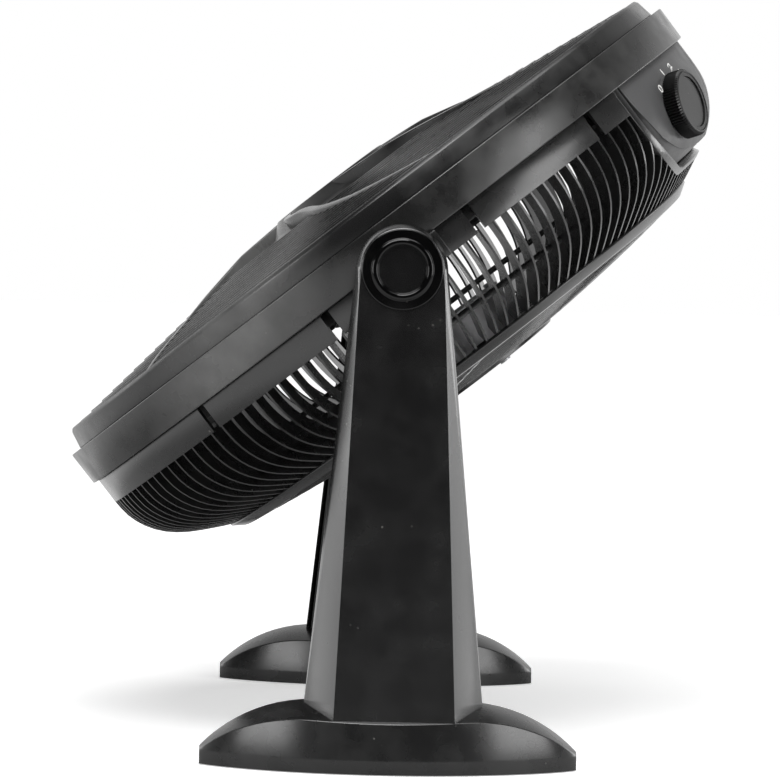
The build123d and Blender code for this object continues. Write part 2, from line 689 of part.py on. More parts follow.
def switch_cover():
    """Box that closes the switch in from inside the grille."""
    reach = COVER_POST_SPREAD + COVER_POST_RADIUS + 1 + WALL
    half = cover_half_width()
    outer = block((-half, half), (-reach, reach), (-COVER_DEPTH - WALL, 0))
    inner = block((-half + WALL, half - WALL), (-reach + WALL, reach - WALL), (-COVER_DEPTH, 1))
    shell = KNOB_PLACE * (outer - inner)
    pad_edge = FRAME_WIDTH + PANEL_GAP + GROOVE_WIDTH
    room = inner_space(GROOVE_DEPTH + WALL + FIT_GAP)
    room += inner_space(WALL + FIT_GAP) & panel_prism(pad_edge + WALL + FIT_GAP, PAD_CORNER_RADIUS)
    shell = shell & room
    holes = [KNOB_PLACE * Pos(0, side * COVER_POST_SPREAD, 0)
             * disc(SCREW_RADIUS + SCREW_HOLE_GAP, -COVER_DEPTH - 2 * WALL, -COVER_DEPTH + 1)
             for side in (-1, 1)]
    cord_hole = gland_place() * disc(GLAND_RADIUS, -WALL - 1, 1)
    seat_room = KNOB_PLACE * disc(SEAT_CORE_RADIUS + FIT_GAP, SWITCH_FACE - FIT_GAP, PAST)
    return shell - [*holes, cord_hole, seat_room]


def gland_place():
    """Middle of the cord gland, on the cover's back wall with Z pointing out of it."""
    return KNOB_PLACE * Pos(cover_half_width(), 0, GLAND_HEIGHT) * Rot(0, 90, 0)


def cord_gland():
    sleeve = tube(GLAND_RADIUS, GLAND_BORE_RADIUS, -WALL, 0)
    flange = tube(GLAND_RADIUS + GLAND_LIP, GLAND_BORE_RADIUS, 0, GLAND_LIP_HEIGHT)
    return gland_place() * (sleeve + flange)


def switch_cover_screws():
    one = screw(-COVER_DEPTH + PILOT_DEPTH - 2, -COVER_DEPTH - WALL)
    return [KNOB_PLACE * Pos(0, side * COVER_POST_SPREAD, 0) * one for side in (-1, 1)]


def rotary_switch():
    case = block((-SWITCH_HALF, SWITCH_HALF), (-SWITCH_HALF, SWITCH_HALF),
                 (SWITCH_FACE - SWITCH_DEPTH, SWITCH_FACE))
    neck = disc(SWITCH_NECK_RADIUS, SWITCH_FACE, KNOB_SEAT + SWITCH_NUT_HEIGHT)
    back = SWITCH_FACE - SWITCH_DEPTH
    bore = disc(SPINDLE_RADIUS + RUNNING_GAP, back + SWITCH_FLOOR, PAST)
    thin = TAG_HALF_THICKNESS
    tags = [block((x - thin, x + thin), (-TAG_HALF_WIDTH, TAG_HALF_WIDTH), (back - TAG_LENGTH, back))
            for x in (-TAG_SPREAD, TAG_SPREAD)]
    gaps = block((-SWITCH_HALF, SWITCH_HALF), (-TAG_GAP, TAG_GAP), (back - TAG_LENGTH - 1, back))
    return KNOB_PLACE * (case + [neck, *tags] - gaps - bore)


def switch_nut():
    hexagon = RegularPolygon(SWITCH_NUT_RADIUS, HEXAGON) - Circle(SWITCH_NECK_RADIUS + RUNNING_GAP)
    return KNOB_PLACE * Pos(0, 0, KNOB_SEAT) * extrude(hexagon, SWITCH_NUT_HEIGHT)


def switch_spindle():
    low = SWITCH_FACE - SWITCH_DEPTH + SWITCH_FLOOR + FACE_GAP
    return KNOB_PLACE * disc(SPINDLE_RADIUS, low, knob_base() + KNOB_HEIGHT - KNOB_SKIN - FACE_GAP)


def knob_base():
    return KNOB_SEAT + KNOB_GAP


def speed_knob():
    base = knob_base()
    top = base + KNOB_HEIGHT
    shoulder = top - KNOB_CHAMFER
    body = disc(KNOB_RADIUS - KNOB_TOOTH, base, shoulder)
    teeth = []
    for k in range(2 * KNOB_TEETH):
        angle = math.pi * k / KNOB_TEETH
        radius = KNOB_RADIUS - (k % 2) * KNOB_TOOTH
        teeth.append((radius * math.cos(angle), radius * math.sin(angle)))
    toothed = make_face(Polyline(*teeth, close=True))
    rim = Pos(0, 0, top - KNOB_RIM_HEIGHT) * extrude(toothed, KNOB_RIM_HEIGHT - KNOB_CHAMFER)
    edge = KNOB_RADIUS - KNOB_TOOTH
    face = Pos(0, 0, top - KNOB_CHAMFER / 2) * Cone(edge, edge - 1, KNOB_CHAMFER)
    disk = Circle(KNOB_RADIUS - KNOB_FACE_LAND)
    crescent = disk - Pos(-KNOB_CRESCENT_WIDTH, 0) * disk
    recess = Pos(0, 0, top - KNOB_CRESCENT_DEPTH) * extrude(crescent, 2)
    hollow = disc(SWITCH_NUT_RADIUS + 1, base - 1, base + SWITCH_NUT_HEIGHT + 1)
    bore = disc(SPINDLE_RADIUS + RUNNING_GAP, base, top - KNOB_SKIN)
    return KNOB_PLACE * (body + [rim, face] - recess - hollow - bore)


# ------------------------------------------------------------------ motor
def motor_front_shield():
    outer = disc(MOTOR_RADIUS, MOTOR_SPLIT, MOTOR_FRONT)
    hollow = disc(STATOR_RADIUS, MOTOR_SPLIT - 1, MOTOR_FRONT - WALL)
    vents = [place * disc(MOTOR_VENT_RADIUS, MOTOR_FRONT - 2 * WALL, MOTOR_FRONT + 1)
             for place in spread(MOTOR_VENT_COUNT, MOTOR_VENT_CIRCLE)]
    snout = disc(SNOUT_RADIUS, MOTOR_FRONT - WALL, BEARING_FRONT + SNOUT_PROUD)
    pocket = disc(BEARING_RADIUS, MOTOR_FRONT - WALL - 1, BEARING_FRONT)
    way = disc(SHAFT_RADIUS + 1, MOTOR_FRONT, BEARING_FRONT + 2)
    lug_places = spread(MOTOR_FIXINGS, MOTOR_BOLT_CIRCLE)
    bolt_holes = [place * disc(SCREW_RADIUS + SCREW_HOLE_GAP, MOTOR_SPLIT - 1, MOTOR_FRONT + 1)
                  for place in lug_places]
    lugs = [place * disc(MOTOR_LUG_RADIUS, MOTOR_SPLIT, MOTOR_FRONT) for place in lug_places]
    shell = outer + lugs
    return shell - [hollow, *vents] + snout - [pocket, way, *bolt_holes]


def motor_rear_shield():
    outer = disc(MOTOR_RADIUS, MOTOR_BACK, MOTOR_SPLIT)
    lug_places = spread(MOTOR_FIXINGS, MOTOR_BOLT_CIRCLE)
    screw_places = spread(MOTOR_FIXINGS, MOTOR_SCREW_CIRCLE, MOTOR_SCREW_FIRST)
    lugs = [place * disc(MOTOR_LUG_RADIUS, MOTOR_BACK, MOTOR_SPLIT) for place in lug_places]
    hollow = disc(STATOR_RADIUS, MOTOR_BACK + WALL, MOTOR_SPLIT + 1)
    seat_low = BEARING_REAR - BEARING_THICKNESS
    seat = disc(SNOUT_RADIUS, MOTOR_BACK, BEARING_REAR - 1)
    pocket = disc(BEARING_RADIUS, seat_low, BEARING_REAR + 1)
    screw_posts = [place * disc(MOTOR_LUG_RADIUS, MOTOR_BACK, MOTOR_BACK + WALL + 1)
                   for place in screw_places]
    pilot = SCREW_RADIUS + RUNNING_GAP
    screw_holes = [place * disc(pilot, MOTOR_BACK - 1, MOTOR_BACK + WALL + 2) for place in screw_places]
    bolt_holes = [place * disc(pilot, MOTOR_BACK + MOTOR_BOLT_ROOM, MOTOR_SPLIT + 1)
                  for place in lug_places]
    shell = outer + lugs - hollow
    return shell + [seat, *screw_posts] - [pocket, *screw_holes, *bolt_holes]


def stator_core():
    through = (STATOR_BACK - 1, STATOR_FRONT + 1)
    floor = STATOR_BORE + SLOT_TOOTH
    slot = block((floor, STATOR_BORE + SLOT_DEPTH), (-SLOT_HALF, SLOT_HALF), through)
    mouth = block((STATOR_BORE - 1, floor + 1), (-SLOT_MOUTH_HALF, SLOT_MOUTH_HALF), through)
    cuts = []
    for k in range(STATOR_SLOTS):
        turn = Rot(0, 0, 360 * k / STATOR_SLOTS)
        cuts += [turn * slot, turn * mouth]
    return tube(STATOR_RADIUS, STATOR_BORE, STATOR_BACK, STATOR_FRONT) - cuts


def stator_windings():
    """End turns of the field winding, one bundle on each side of the core."""
    bundle = tube(STATOR_RADIUS - WINDING_INSET, STATOR_BORE + WINDING_INSET, 0, WINDING_HEIGHT)
    bundle = fillet(bundle.edges().filter_by(GeomType.CIRCLE), WINDING_EDGE)
    return [Pos(0, 0, STATOR_FRONT) * bundle, Pos(0, 0, STATOR_BACK - WINDING_HEIGHT) * bundle]


def rotor_core():
    stack = tube(STATOR_BORE - AIR_GAP, SHAFT_RADIUS, STATOR_BACK, STATOR_FRONT)
    outer, inner = [STATOR_BORE - step for step in END_RING]
    rings = [tube(outer, inner, STATOR_FRONT, STATOR_FRONT + END_RING_HEIGHT)]
    return stack + rings


def motor_shaft():
    return disc(SHAFT_RADIUS, SHAFT_BACK, SHAFT_FRONT)


def bearing(front):
    ring = tube(BEARING_RADIUS, SHAFT_RADIUS + RUNNING_GAP, front - BEARING_THICKNESS, front)
    groove = tube(BEARING_RADIUS - 2, SHAFT_RADIUS + 2, front - RACE_GROOVE, front + 1)
    return ring - groove


def motor_bolts():
    one = screw(MOTOR_BACK + MOTOR_BOLT_TIP, MOTOR_FRONT)
    return [place * one for place in spread(MOTOR_FIXINGS, MOTOR_BOLT_CIRCLE)]


def motor_mount_screws():
    one = screw(MOTOR_BACK + WALL + 0.5, BACK_CENTRE)
    return [place * one for place in spread(MOTOR_FIXINGS, MOTOR_SCREW_CIRCLE, MOTOR_SCREW_FIRST)]


def run_capacitor():
    inner = MOTOR_RADIUS + 2 * FACE_GAP
    case = block((inner, inner + CAPACITOR_THICKNESS), (-CAPACITOR_HALF, CAPACITOR_HALF),
                 (MOTOR_BACK, MOTOR_BACK + CAPACITOR_LENGTH))
    case = fillet(case.edges().filter_by(Axis.Z), CAPACITOR_EDGE)
    return Rot(0, 0, CAPACITOR_TURN) * case


# ------------------------------------------------------------------ impeller
def blade_section(radius, chord, pitch):
    plane = Plane(origin=(radius, 0, BLADE_MIDDLE), x_dir=(0, 1, 0), z_dir=(1, 0, 0))
    half = chord / 2
    sag = chord * BLADE_CAMBER
    side = BLADE_THICKNESS / 2
    upper = ThreePointArc((-half, side), (0, sag + side), (half, side))
    lower = ThreePointArc((half, -side), (0, sag - side), (-half, -side))
    edges = [upper, Line(upper @ 1, lower @ 0), lower, Line(lower @ 1, upper @ 0)]
    return plane * (Rot(0, 0, pitch) * make_face(edges))


def blade():
    middle = (IMPELLER_HUB_RADIUS + BLADE_TIP_RADIUS) / 2
    stations = [
        (IMPELLER_HUB_RADIUS - BLADE_ROOT_DEPTH, *BLADE_ROOT), (middle, *BLADE_MID),
        (BLADE_TIP_RADIUS + 2, *BLADE_TIP),
    ]
    wing = loft([blade_section(*station) for station in stations])
    swept = disc(BLADE_TIP_RADIUS, -BEYOND, BEYOND)
    return wing & swept - disc(IMPELLER_HUB_RADIUS - WALL / 2, -BEYOND, BEYOND)


def impeller():
    hub = disc(IMPELLER_HUB_RADIUS, IMPELLER_HUB_BACK, IMPELLER_HUB_FRONT)
    nose = hub.edges().filter_by(GeomType.CIRCLE).sort_by(Axis.Z)[-1]
    hub = fillet(nose, IMPELLER_NOSE)
    hub -= disc(IMPELLER_HUB_RADIUS - WALL, IMPELLER_HUB_BACK - 1, IMPELLER_HUB_FRONT - WALL)
    hub += disc(IMPELLER_BOSS_RADIUS, IMPELLER_HUB_BACK, IMPELLER_HUB_FRONT)
    one = blade()
    wheel = hub + [Rot(0, 0, 360 * k / BLADE_COUNT) * one for k in range(BLADE_COUNT)]
    return wheel - disc(SHAFT_RADIUS + RUNNING_GAP, IMPELLER_HUB_BACK - 1, IMPELLER_HUB_FRONT + 1)


def impeller_nut():
    low = IMPELLER_HUB_FRONT
    cap = disc(NUT_RADIUS, low, low + NUT_HEIGHT)
    top = cap.edges().filter_by(GeomType.CIRCLE).sort_by(Axis.Z)[-1]
    cap = fillet(top, NUT_EDGE)
    wings = block((-NUT_WING_REACH, NUT_WING_REACH), (-NUT_WING_HALF, NUT_WING_HALF),
                  (low, low + NUT_WING_HEIGHT))
    return cap + wings - disc(SHAFT_RADIUS + RUNNING_GAP, low - 1, SHAFT_FRONT + FACE_GAP)


# ------------------------------------------------------------------ legs
def leg_outline(radius, half_foot, reach_down):
    """Side view of a leg: a round top and two straight sides that spread to the foot."""
    angle = math.atan2(half_foot - radius, reach_down)
    tangent_y = radius * math.cos(angle)
    tangent_z = radius * math.sin(angle)
    foot_y = tangent_y + (reach_down + tangent_z) * math.tan(angle)
    right, left = (tangent_y, tangent_z), (-tangent_y, tangent_z)
    edges = [
        Line((-foot_y, -reach_down), left), ThreePointArc(left, (0, radius), right),
        Line(right, (foot_y, -reach_down)), Line((foot_y, -reach_down), (-foot_y, -reach_down)),
    ]
    return make_face(edges)


def leg_plane(x, lean):
    """Upright plane across X at the tilt axis, leaning outwards towards the floor."""
    turn = math.radians(lean)
    return Plane(origin=(x, AXIS_SETBACK, AXIS_HEIGHT), x_dir=(0, 1, 0),
                 z_dir=(math.cos(turn), 0, math.sin(turn)))


def leg_body(inset, inner_x, outer_x):
    """Leg between two upright faces, with its sides moved in by an inset."""
    reach = AXIS_HEIGHT + LEG_OVERRUN
    slant = reach / math.cos(math.radians(LEG_LEAN))
    foot_share = reach / (AXIS_HEIGHT - FOOT_EDGE_HEIGHT)
    inner_half = LEG_TOP_RADIUS_INNER + (LEG_FOOT_HALF_INNER - LEG_TOP_RADIUS_INNER) * foot_share
    outer_half = LEG_TOP_RADIUS_OUTER + (LEG_FOOT_HALF_OUTER - LEG_TOP_RADIUS_OUTER) * foot_share
    inner = leg_plane(inner_x, 0) * leg_outline(LEG_TOP_RADIUS_INNER - inset, inner_half - inset, reach)
    outer = leg_plane(outer_x, LEG_LEAN) * leg_outline(
        LEG_TOP_RADIUS_OUTER - inset, outer_half - inset, slant)
    return loft([inner, outer], ruled=True)


def pivot_place(x):
    """On the tilt axis at a distance from the middle, with Z pointing outwards along it."""
    return AXIS_POINT * Pos(x, 0, 0) * Rot(0, 90, 0)


def cap_place():
    """Middle of the pivot cap on the leg's leaning outer face, with Z pointing out of it."""
    return AXIS_POINT * Pos(LEG_OUTER_X, 0, 0) * Rot(0, 90 - LEG_LEAN, 0)


def above(height):
    return block((0, BEYOND), (-BEYOND, BEYOND), (height, 2 * BEYOND))


def leg_shell():
    """Right leg: an outer shell with stiffening ribs, the pivot boss and the foot tenon."""
    shell = leg_body(0, LEG_INNER_X, LEG_OUTER_X)
    cavity = leg_body(LEG_WALL, LEG_INNER_X, LEG_OUTER_X - LEG_WALL)
    cavity += leg_body(LEG_WALL, LEG_INNER_X - 2 * LEG_WALL, LEG_OUTER_X - LEG_LIP) & block(
        (LEG_INNER_X - 2 * LEG_WALL, LEG_INNER_X + 2), (-BEYOND, BEYOND), (-BEYOND, BEYOND))
    back = LEG_INNER_X + LEG_COVER_THICKNESS
    half = LEG_RIB / 2
    ribs = [block((back, BEYOND), (-BEYOND, BEYOND), (z, z + LEG_RIB)) for z in LEG_RIB_HEIGHTS]
    ribs.append(block((back, BEYOND), (-half, half), (LEG_RIB_HEIGHTS[0], AXIS_HEIGHT - LEG_OVERRUN)))
    ribs.append(pivot_place(0) * disc(CAP_PLUG_RADIUS + LEG_WALL, LEG_INNER_X + 3 * LEG_WALL, BEYOND))
    ribs += [place * disc(COVER_SCREW_BOSS, back, BEYOND) for place in leg_cover_screw_places()]
    inside = [rib & cavity for rib in ribs]
    boss = pivot_place(0) * disc(LEG_BOSS_RADIUS, LEG_INNER_X, LEG_INNER_X + LEG_BOSS_LENGTH)
    body = shell - cavity
    for piece in (*inside, boss):
        body = body + piece
    recess = cap_place() * disc(CAP_PLUG_RADIUS + FIT_GAP, -CAP_RECESS_DEPTH, PAST)
    bore = pivot_place(0) * disc(BOLT_RADIUS + RUNNING_GAP, LEG_INNER_X - PAST, LEG_OUTER_X + PAST)
    pilots = [place * disc(SCREW_RADIUS + RUNNING_GAP, back - 1, back + PILOT_DEPTH)
              for place in leg_cover_screw_places()]
    bolt_room = pivot_place(0) * disc(BOLT_HEAD_RADIUS + BOLT_WRENCH_ROOM, bolt_seat(), BEYOND)
    body = body - recess - bolt_room - bore - pilots
    body = (body & above(FOOT_EDGE_HEIGHT - LEG_OVERLAP)) - foot_body(0, FIT_GAP)
    return body + leg_tenon()


def leg_cover_screw_places():
    """Screws of the inner cover, with Z pointing outwards along X."""
    places = []
    for height in COVER_SCREW_HEIGHTS:
        for side in (-1, 1):
            spread_y = side * COVER_SCREW_SPREAD
            places.append(Pos(0, AXIS_SETBACK + spread_y, height) * Rot(0, 90, 0))
    return places


def leg_tenon():
    """Box that reaches down through the foot's top, with two posts for the foot screws."""
    half_x, half_y = TENON_WIDTH / 2, TENON_LENGTH / 2
    top = LEG_RIB_HEIGHTS[0] + LEG_RIB
    outer = block((-half_x, half_x), (-half_y, half_y), (TENON_BOTTOM, top))
    inner = block((-half_x + LEG_WALL, half_x - LEG_WALL), (-half_y + LEG_WALL, half_y - LEG_WALL),
                  (TENON_BOTTOM - 1, top - LEG_RIB))
    posts = [place * disc(TENON_POST_RADIUS, TENON_BOTTOM, top - LEG_RIB) for place in foot_screw_places(0)]
    pilot_top = TENON_BOTTOM + FOOT_PILOT_DEPTH
    pilots = [place * disc(SCREW_RADIUS + RUNNING_GAP, TENON_BOTTOM - 1, pilot_top)
              for place in foot_screw_places(0)]
    tenon = outer - inner + posts - pilots
    return Pos(TENON_CENTRE_X, 0, 0) * tenon


def foot_screw_places(x):
    return [Pos(x, side * FOOT_SCREW_SPREAD, 0) for side in (-1, 1)]


def leg_inner_cover():
    plate = leg_body(LEG_WALL + FIT_GAP, LEG_INNER_X, LEG_OUTER_X - LEG_WALL)
    front, back = LEG_INNER_X, LEG_INNER_X + LEG_COVER_THICKNESS
    plate &= block((front, back), (-BEYOND, BEYOND), (-BEYOND, BEYOND))
    plate -= pivot_place(0) * disc(LEG_BOSS_RADIUS + FIT_GAP, front - 1, back + 1)
    holes = [place * disc(SCREW_RADIUS + SCREW_HOLE_GAP, front - 1, back + 1)
             for place in leg_cover_screw_places()]
    plate = plate - holes
    return (plate & above(FOOT_EDGE_HEIGHT - LEG_OVERLAP)) - foot_body(0, FIT_GAP)


def leg_cover_screws():
    one = screw(LEG_INNER_X + LEG_COVER_THICKNESS + COVER_SCREW_LENGTH, LEG_INNER_X)
    return [place * one for place in leg_cover_screw_places()]


def pivot_cap():
    middle, crown = CAP_THICKNESS - CAP_SINK, CAP_THICKNESS + CAP_BEAD_HEIGHT
    plug = CAP_PLUG_RADIUS
    flange_outline = [
        (0, -CAP_SKIN), (plug - LEG_WALL, -CAP_SKIN), (plug - LEG_WALL, -CAP_PLUG_DEPTH),
        (plug - CAP_EDGE, -CAP_PLUG_DEPTH), (plug, -CAP_PLUG_DEPTH + 1), (plug, 0), (CAP_RADIUS, 0),
        (CAP_RADIUS, CAP_THICKNESS - CAP_EDGE), (CAP_RADIUS - CAP_EDGE, CAP_THICKNESS),
        (CAP_BEAD_OUTER + CAP_EDGE, CAP_THICKNESS), (CAP_BEAD_OUTER - CAP_EDGE, crown),
        (CAP_BEAD_INNER + CAP_EDGE, crown), (CAP_BEAD_INNER, middle), (0, middle),
    ]
    return cap_place() * turned(flange_outline)


def friction_washer():
    low = TRUNNION_FACE + FACE_GAP
    return pivot_place(0) * tube(WASHER_RADIUS, BOLT_RADIUS + RUNNING_GAP, low, LEG_INNER_X)


def bolt_seat():
    """Floor of the recess in the leg, where the lock washer and the bolt's head sit."""
    return LEG_INNER_X + BOLT_SEAT_DEPTH


def trunnion_insert():
    low, high = TRUNNION_FACE - INSERT_LENGTH, TRUNNION_FACE - SCREW_HOLE_GAP
    return pivot_place(0) * tube(INSERT_RADIUS, BOLT_RADIUS + RUNNING_GAP, low, high)


def pivot_lock_washer():
    low = bolt_seat() + FACE_GAP
    high = low + LOCK_WASHER_THICKNESS
    return pivot_place(0) * tube(BOLT_HEAD_RADIUS + 1, BOLT_RADIUS + RUNNING_GAP, low, high)


def pivot_bolt():
    head_low = bolt_seat() + FACE_GAP + LOCK_WASHER_THICKNESS
    shank = disc(BOLT_RADIUS, TRUNNION_FACE - INSERT_LENGTH - BOLT_END, head_low)
    head = Pos(0, 0, head_low) * extrude(RegularPolygon(BOLT_HEAD_RADIUS, HEXAGON), BOLT_HEAD_HEIGHT)
    return pivot_place(0) * (shank + head)


# ------------------------------------------------------------------ feet
def foot_section(y, inset, lift):
    """Cross-section of the foot at a distance from its middle."""
    share = abs(y) / FOOT_HALF_LENGTH
    half = FOOT_TIP_HALF_WIDTH + (FOOT_HALF_WIDTH - FOOT_TIP_HALF_WIDTH) * math.sqrt(
        max(0.0, 1 - share ** 2)) ** FOOT_FULLNESS
    past = max(0.0, abs(y) - FOOT_CREST_FLAT)
    fall = FOOT_CREST_ARC - math.sqrt(FOOT_CREST_ARC ** 2 - past ** 2)
    crest = FOOT_CREST_HEIGHT - fall
    rise = FOOT_CREST_HEIGHT - FOOT_EDGE_HEIGHT
    narrowed = FOOT_EDGE_SHARE + (1 - FOOT_EDGE_SHARE) * half / FOOT_HALF_WIDTH
    edge = max(crest - rise * min(1.0, narrowed), FOOT_TIP_EDGE)
    edge_half = half - FOOT_TOP_INSET * (edge - FOOT_BAND) / (FOOT_EDGE_HEIGHT - FOOT_BAND)
    half, edge_half = half - inset, max(edge_half - inset, FOOT_CREST_HALF_WIDTH)
    crest, edge, low = crest - inset + lift, edge - inset + lift, PAD_STAND_OFF - (1 if inset else 0)
    points = [
        (-half, low), (-half, FOOT_BAND), (-edge_half, edge), (0, crest),
        (edge_half, edge), (half, FOOT_BAND), (half, low),
    ]
    plane = Plane(origin=(FOOT_CENTRE_X, y, 0), x_dir=(1, 0, 0), z_dir=(0, -1, 0))
    return plane * make_face(Polyline(*points, close=True))


def foot_body(inset, lift=0.0):
    end = FOOT_HALF_LENGTH - inset
    stations = [end * math.sin(math.pi / 2 * k / FOOT_STEPS) for k in range(-FOOT_STEPS, FOOT_STEPS + 1)]
    return loft([foot_section(y, inset, lift) for y in stations])


def foot():
    """Right foot: a hollow boat shape with cross ribs, a socket for the leg and pad posts."""
    cavity = foot_body(FOOT_WALL)
    half = FOOT_RIB / 2
    inside = [block((0, BEYOND), (y - half, y + half), (PAD_THICKNESS, BEYOND))
              for place in FOOT_RIB_PLACES for y in (-place, place)]
    reach = FOOT_RIB_PLACES[0] + half
    plate_top = TENON_BOTTOM - FIT_GAP
    plate = block((TENON_CENTRE_X - SOCKET_HALF, TENON_CENTRE_X + SOCKET_HALF), (-reach, reach),
                  (plate_top - FOOT_WALL, plate_top))
    inside += [Pos(x, y, 0) * disc(PAD_RADIUS + 1, PAD_THICKNESS, BEYOND) for x, y in PAD_PLACES]
    body = foot_body(0) - cavity
    for rib in (*inside, plate):
        body = body + (rib & cavity)
    socket_x = TENON_WIDTH / 2 + FIT_GAP
    socket_y = TENON_LENGTH / 2 + FIT_GAP
    socket = block((TENON_CENTRE_X - socket_x, TENON_CENTRE_X + socket_x), (-socket_y, socket_y),
                   (plate_top, BEYOND))
    holes = [place * disc(SCREW_RADIUS + SCREW_HOLE_GAP, 0, plate_top + 1)
             for place in foot_screw_places(TENON_CENTRE_X)]
    return body - socket - holes


def foot_pads():
    pads = [Pos(x, y, 0) * disc(PAD_RADIUS, 0, PAD_THICKNESS) for x, y in PAD_PLACES]
    return both_sides(pads)


def foot_screws():
    seat = TENON_BOTTOM - FIT_GAP - FOOT_WALL
    one = screw(TENON_BOTTOM + FOOT_SCREW_LENGTH, seat)
    return both_sides([place * one for place in foot_screw_places(TENON_CENTRE_X)])


def both_sides(shapes):
    return [*shapes, *[mirrored(shape) for shape in shapes]]


# ------------------------------------------------------------------ all pieces
def in_head(shapes):
    if isinstance(shapes, list):
        return [HEAD * shape for shape in shapes]
    return HEAD * shapes


def pieces():
    named = {
        "front_grille": in_head(front_grille()),
        "hub_disc": in_head(hub_disc()),
        "housing_ring": in_head(housing_ring()),
        "rear_grille": in_head(rear_grille()),
        "ring_screws": in_head(ring_screws()),
        "control_panel": in_head(control_panel()),
        "switch_cover": in_head(switch_cover()),
        "switch_cover_screws": in_head(switch_cover_screws()),
        "cord_gland": in_head(cord_gland()),
        "rotary_switch": in_head(rotary_switch()),
        "switch_nut": in_head(switch_nut()),
        "switch_spindle": in_head(switch_spindle()),
        "speed_knob": in_head(speed_knob()),
        "motor_front_shield": in_head(motor_front_shield()),
        "motor_rear_shield": in_head(motor_rear_shield()),
        "stator_core": in_head(stator_core()),
        "stator_windings": in_head(stator_windings()),
        "front_bearing": in_head(bearing(BEARING_FRONT)),
        "rear_bearing": in_head(bearing(BEARING_REAR)),
        "motor_bolts": in_head(motor_bolts()),
        "motor_mount_screws": in_head(motor_mount_screws()),
        "run_capacitor": in_head(run_capacitor()),
        "motor_shaft": in_head(motor_shaft()),
        "rotor_core": in_head(rotor_core()),
        "impeller": in_head(impeller()),
        "impeller_nut": in_head(impeller_nut()),
        "pivot_bolts": both_sides([pivot_bolt()]),
        "pivot_lock_washers": both_sides([pivot_lock_washer()]),
        "trunnion_inserts": both_sides([trunnion_insert()]),
        "friction_washers": both_sides([friction_washer()]),
        "leg_cover_screws": both_sides(leg_cover_screws()),
        "foot_pads": foot_pads(),
        "foot_screws": foot_screws(),
    }
    pairs = {"leg_shell": leg_shell(), "leg_inner_cover": leg_inner_cover(), "pivot_cap": pivot_cap(),
             "foot": foot()}
    for name, shape in pairs.items():
        named[name + "_right"] = shape
        named[name + "_left"] = mirrored(shape)
    return named


os.makedirs("parts", exist_ok=True)
for node, shape in pieces().items():
    solid = Compound(children=shape) if isinstance(shape, list) else shape
    export_step(solid, f"parts/{node}.step")
    print(node, round(solid.volume))
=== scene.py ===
# %% [markdown]
# # An air circulator fan on two legs
# The object is a floor fan of black moulded plastic: a round head that tilts between two tapered
# legs, each on its own foot. The exact solids come from the CAD model and stay where they are.
# This lesson gives them their looks, and rebuilds the pieces that the eye meets first with rounded
# edges and finer detail than the CAD model needs.

# %% Load the fixed frame
import json
import math

import bmesh
import bpy
from mathutils import Matrix, Vector


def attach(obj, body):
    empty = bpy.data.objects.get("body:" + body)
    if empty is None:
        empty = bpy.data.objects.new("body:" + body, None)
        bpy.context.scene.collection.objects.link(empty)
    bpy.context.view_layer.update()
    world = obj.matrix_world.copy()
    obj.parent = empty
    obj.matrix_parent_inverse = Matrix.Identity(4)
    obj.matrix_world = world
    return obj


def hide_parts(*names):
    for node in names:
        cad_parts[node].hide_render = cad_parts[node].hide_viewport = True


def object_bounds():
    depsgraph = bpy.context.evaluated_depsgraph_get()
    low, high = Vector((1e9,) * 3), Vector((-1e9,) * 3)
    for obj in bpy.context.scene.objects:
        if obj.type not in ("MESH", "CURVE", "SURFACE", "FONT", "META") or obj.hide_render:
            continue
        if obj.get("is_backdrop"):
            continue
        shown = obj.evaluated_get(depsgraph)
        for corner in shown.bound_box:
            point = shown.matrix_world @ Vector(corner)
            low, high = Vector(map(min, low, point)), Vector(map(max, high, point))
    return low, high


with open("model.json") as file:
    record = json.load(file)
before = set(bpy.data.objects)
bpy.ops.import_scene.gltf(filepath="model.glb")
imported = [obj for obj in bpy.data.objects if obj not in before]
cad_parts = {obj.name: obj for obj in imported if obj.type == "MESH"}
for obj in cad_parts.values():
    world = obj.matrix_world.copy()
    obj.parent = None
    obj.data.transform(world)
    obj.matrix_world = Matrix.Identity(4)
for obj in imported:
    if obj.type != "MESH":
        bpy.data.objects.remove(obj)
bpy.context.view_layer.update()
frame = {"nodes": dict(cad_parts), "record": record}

# %% [markdown]
# The fan was photographed from its right side through a long lens, from about its own middle
# height. A camera is placed by a spot and three directions. Working those out from the yaw, pitch
# and roll is easier to check than three Euler angles, so the matrix is filled by its columns.

# %% Camera
PICTURE = 780
LENS_PIXELS = 4106.7         # focal length in pixels of a picture that wide
SENSOR = 36.0
SPOT = (2.6816, -0.0471, 0.2932)
YAW, PITCH, ROLL = 1.038, -1.645, 1.198      # degrees away from a level look along -X


def camera_axes(yaw, pitch, roll):
    """Right, up and forward of a camera that looks along -X before it is turned."""
    forward, right, up = Vector((-1, 0, 0)), Vector((0, 1, 0)), Vector((0, 0, 1))
    forward, right = (
        forward * math.cos(yaw) + right * math.sin(yaw),
        right * math.cos(yaw) - forward * math.sin(yaw),
    )
    forward, up = (
        forward * math.cos(pitch) + up * math.sin(pitch),
        up * math.cos(pitch) - forward * math.sin(pitch),
    )
    right, up = (
        right * math.cos(roll) + up * math.sin(roll),
        up * math.cos(roll) - right * math.sin(roll),
    )
    return right, up, forward


